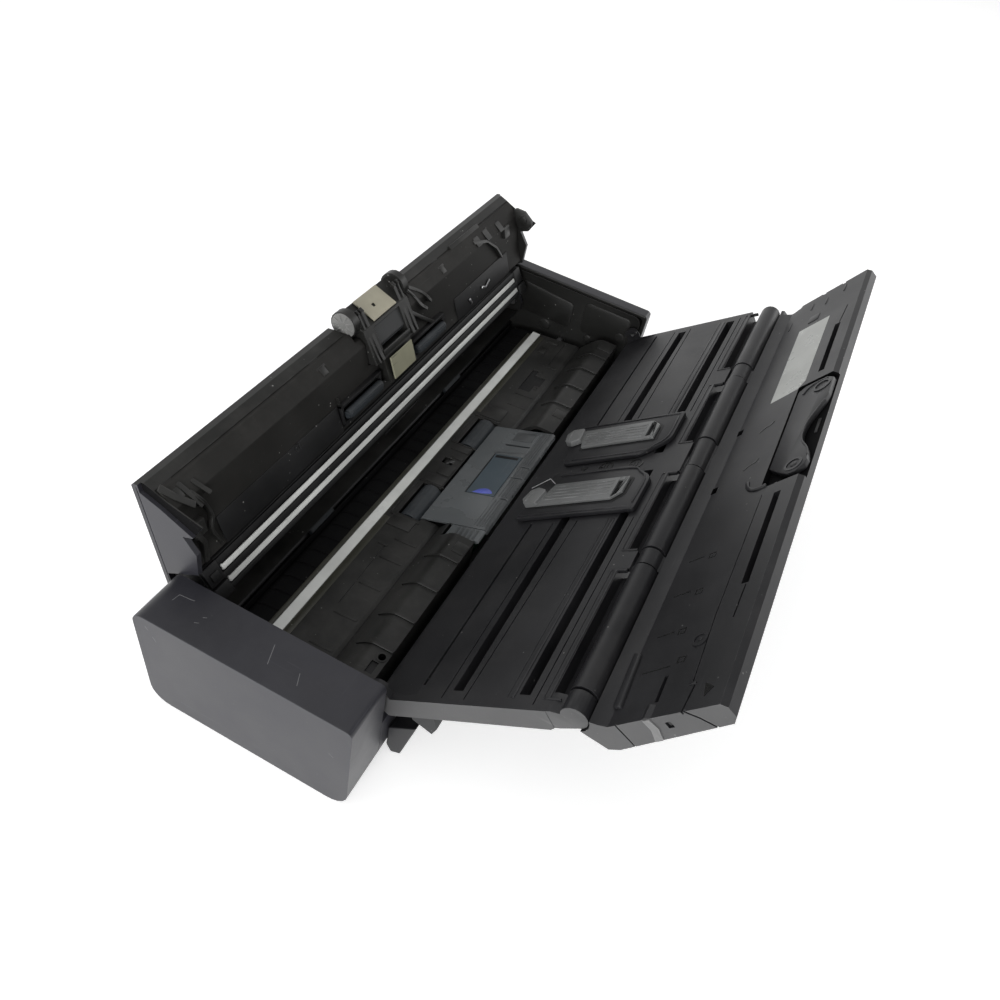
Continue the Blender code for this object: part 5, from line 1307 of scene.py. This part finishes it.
class SCANNER_OT_finishes(bpy.types.Operator):
    """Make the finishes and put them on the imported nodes"""
    bl_idname = "scanner.finishes"
    bl_label = "Finishes"

    def execute(self, context):
        make_finishes(context.scene.scanner_colours)
        for finish, members in cad_finishes.items():
            for node in members:
                for material_slot in nodes[node].material_slots:
                    material_slot.material = finishes[finish]
        return {"FINISHED"}


class SCANNER_OT_base(bpy.types.Operator):
    """Dress the base, its end caps and the mouldings of the lower paper path"""
    bl_idname = "scanner.base"
    bl_label = "Base"

    def execute(self, context):
        dress_base()
        return {"FINISHED"}


class SCANNER_OT_separation(bpy.types.Operator):
    """Dress the separation cover, its pad and the release lever"""
    bl_idname = "scanner.separation"
    bl_label = "Separation cover"

    def execute(self, context):
        dress_separation()
        return {"FINISHED"}


class SCANNER_OT_cover(bpy.types.Operator):
    """Dress the cover, its inner mouldings and its two glass strips"""
    bl_idname = "scanner.cover"
    bl_label = "Cover"

    def execute(self, context):
        dress_cover()
        return {"FINISHED"}


class SCANNER_OT_pickup(bpy.types.Operator):
    """Dress the pickup unit on the cover: its arms, plate, roller and end discs"""
    bl_idname = "scanner.pickup"
    bl_label = "Pickup unit"

    def execute(self, context):
        dress_pickup()
        return {"FINISHED"}


class SCANNER_OT_tray(bpy.types.Operator):
    """Dress the tray, its marks and the frames along the hinge barrels"""
    bl_idname = "scanner.tray"
    bl_label = "Tray"

    def execute(self, context):
        dress_tray()
        return {"FINISHED"}


class SCANNER_OT_guides(bpy.types.Operator):
    """Build the two side guides with their folded fences"""
    bl_idname = "scanner.guides"
    bl_label = "Side guides"

    def execute(self, context):
        dress_guides()
        return {"FINISHED"}


class SCANNER_OT_flap(bpy.types.Operator):
    """Dress the flap, its marks, its blank sticker and the support arm"""
    bl_idname = "scanner.flap"
    bl_label = "Flap"

    def execute(self, context):
        dress_flap()
        return {"FINISHED"}


class SCANNER_OT_stage(bpy.types.Operator):
    """Set the floor, the soft lamps, the world and the camera"""
    bl_idname = "scanner.stage"
    bl_label = "Stage"

    def execute(self, context):
        build_stage(context.scene)
        return {"FINISHED"}


operators = (
    SCANNER_OT_finishes, SCANNER_OT_base, SCANNER_OT_separation, SCANNER_OT_cover,
    SCANNER_OT_pickup, SCANNER_OT_tray, SCANNER_OT_guides, SCANNER_OT_flap, SCANNER_OT_stage,
)


class SCANNER_PT_panel(bpy.types.Panel):
    """Lists the scanner's pieces and settings"""
    bl_idname = "SCANNER_PT_panel"
    bl_label = "Document scanner"
    bl_space_type = "VIEW_3D"
    bl_region_type = "UI"
    bl_category = "Scanner"

    def draw(self, context):
        layout = self.layout
        for settings in (context.scene.scanner_colours, context.scene.scanner_stage):
            for name in settings.__annotations__:
                layout.prop(settings, name)
        for operator in operators:
            layout.operator(operator.bl_idname)


classes = (ScannerColours, ScannerStage, *operators, SCANNER_PT_panel)


def register():
    for kind in classes:
        bpy.utils.register_class(kind)
    bpy.types.Scene.scanner_colours = PointerProperty(type=ScannerColours)
    bpy.types.Scene.scanner_stage = PointerProperty(type=ScannerStage)


def unregister():
    del bpy.types.Scene.scanner_stage
    del bpy.types.Scene.scanner_colours
    for kind in reversed(classes):
        bpy.utils.unregister_class(kind)


def main():
    register()
    for operator in operators:
        group, name = operator.bl_idname.split(".")
        getattr(getattr(bpy.ops, group), name)()


if __name__ == "__main__":
    main()
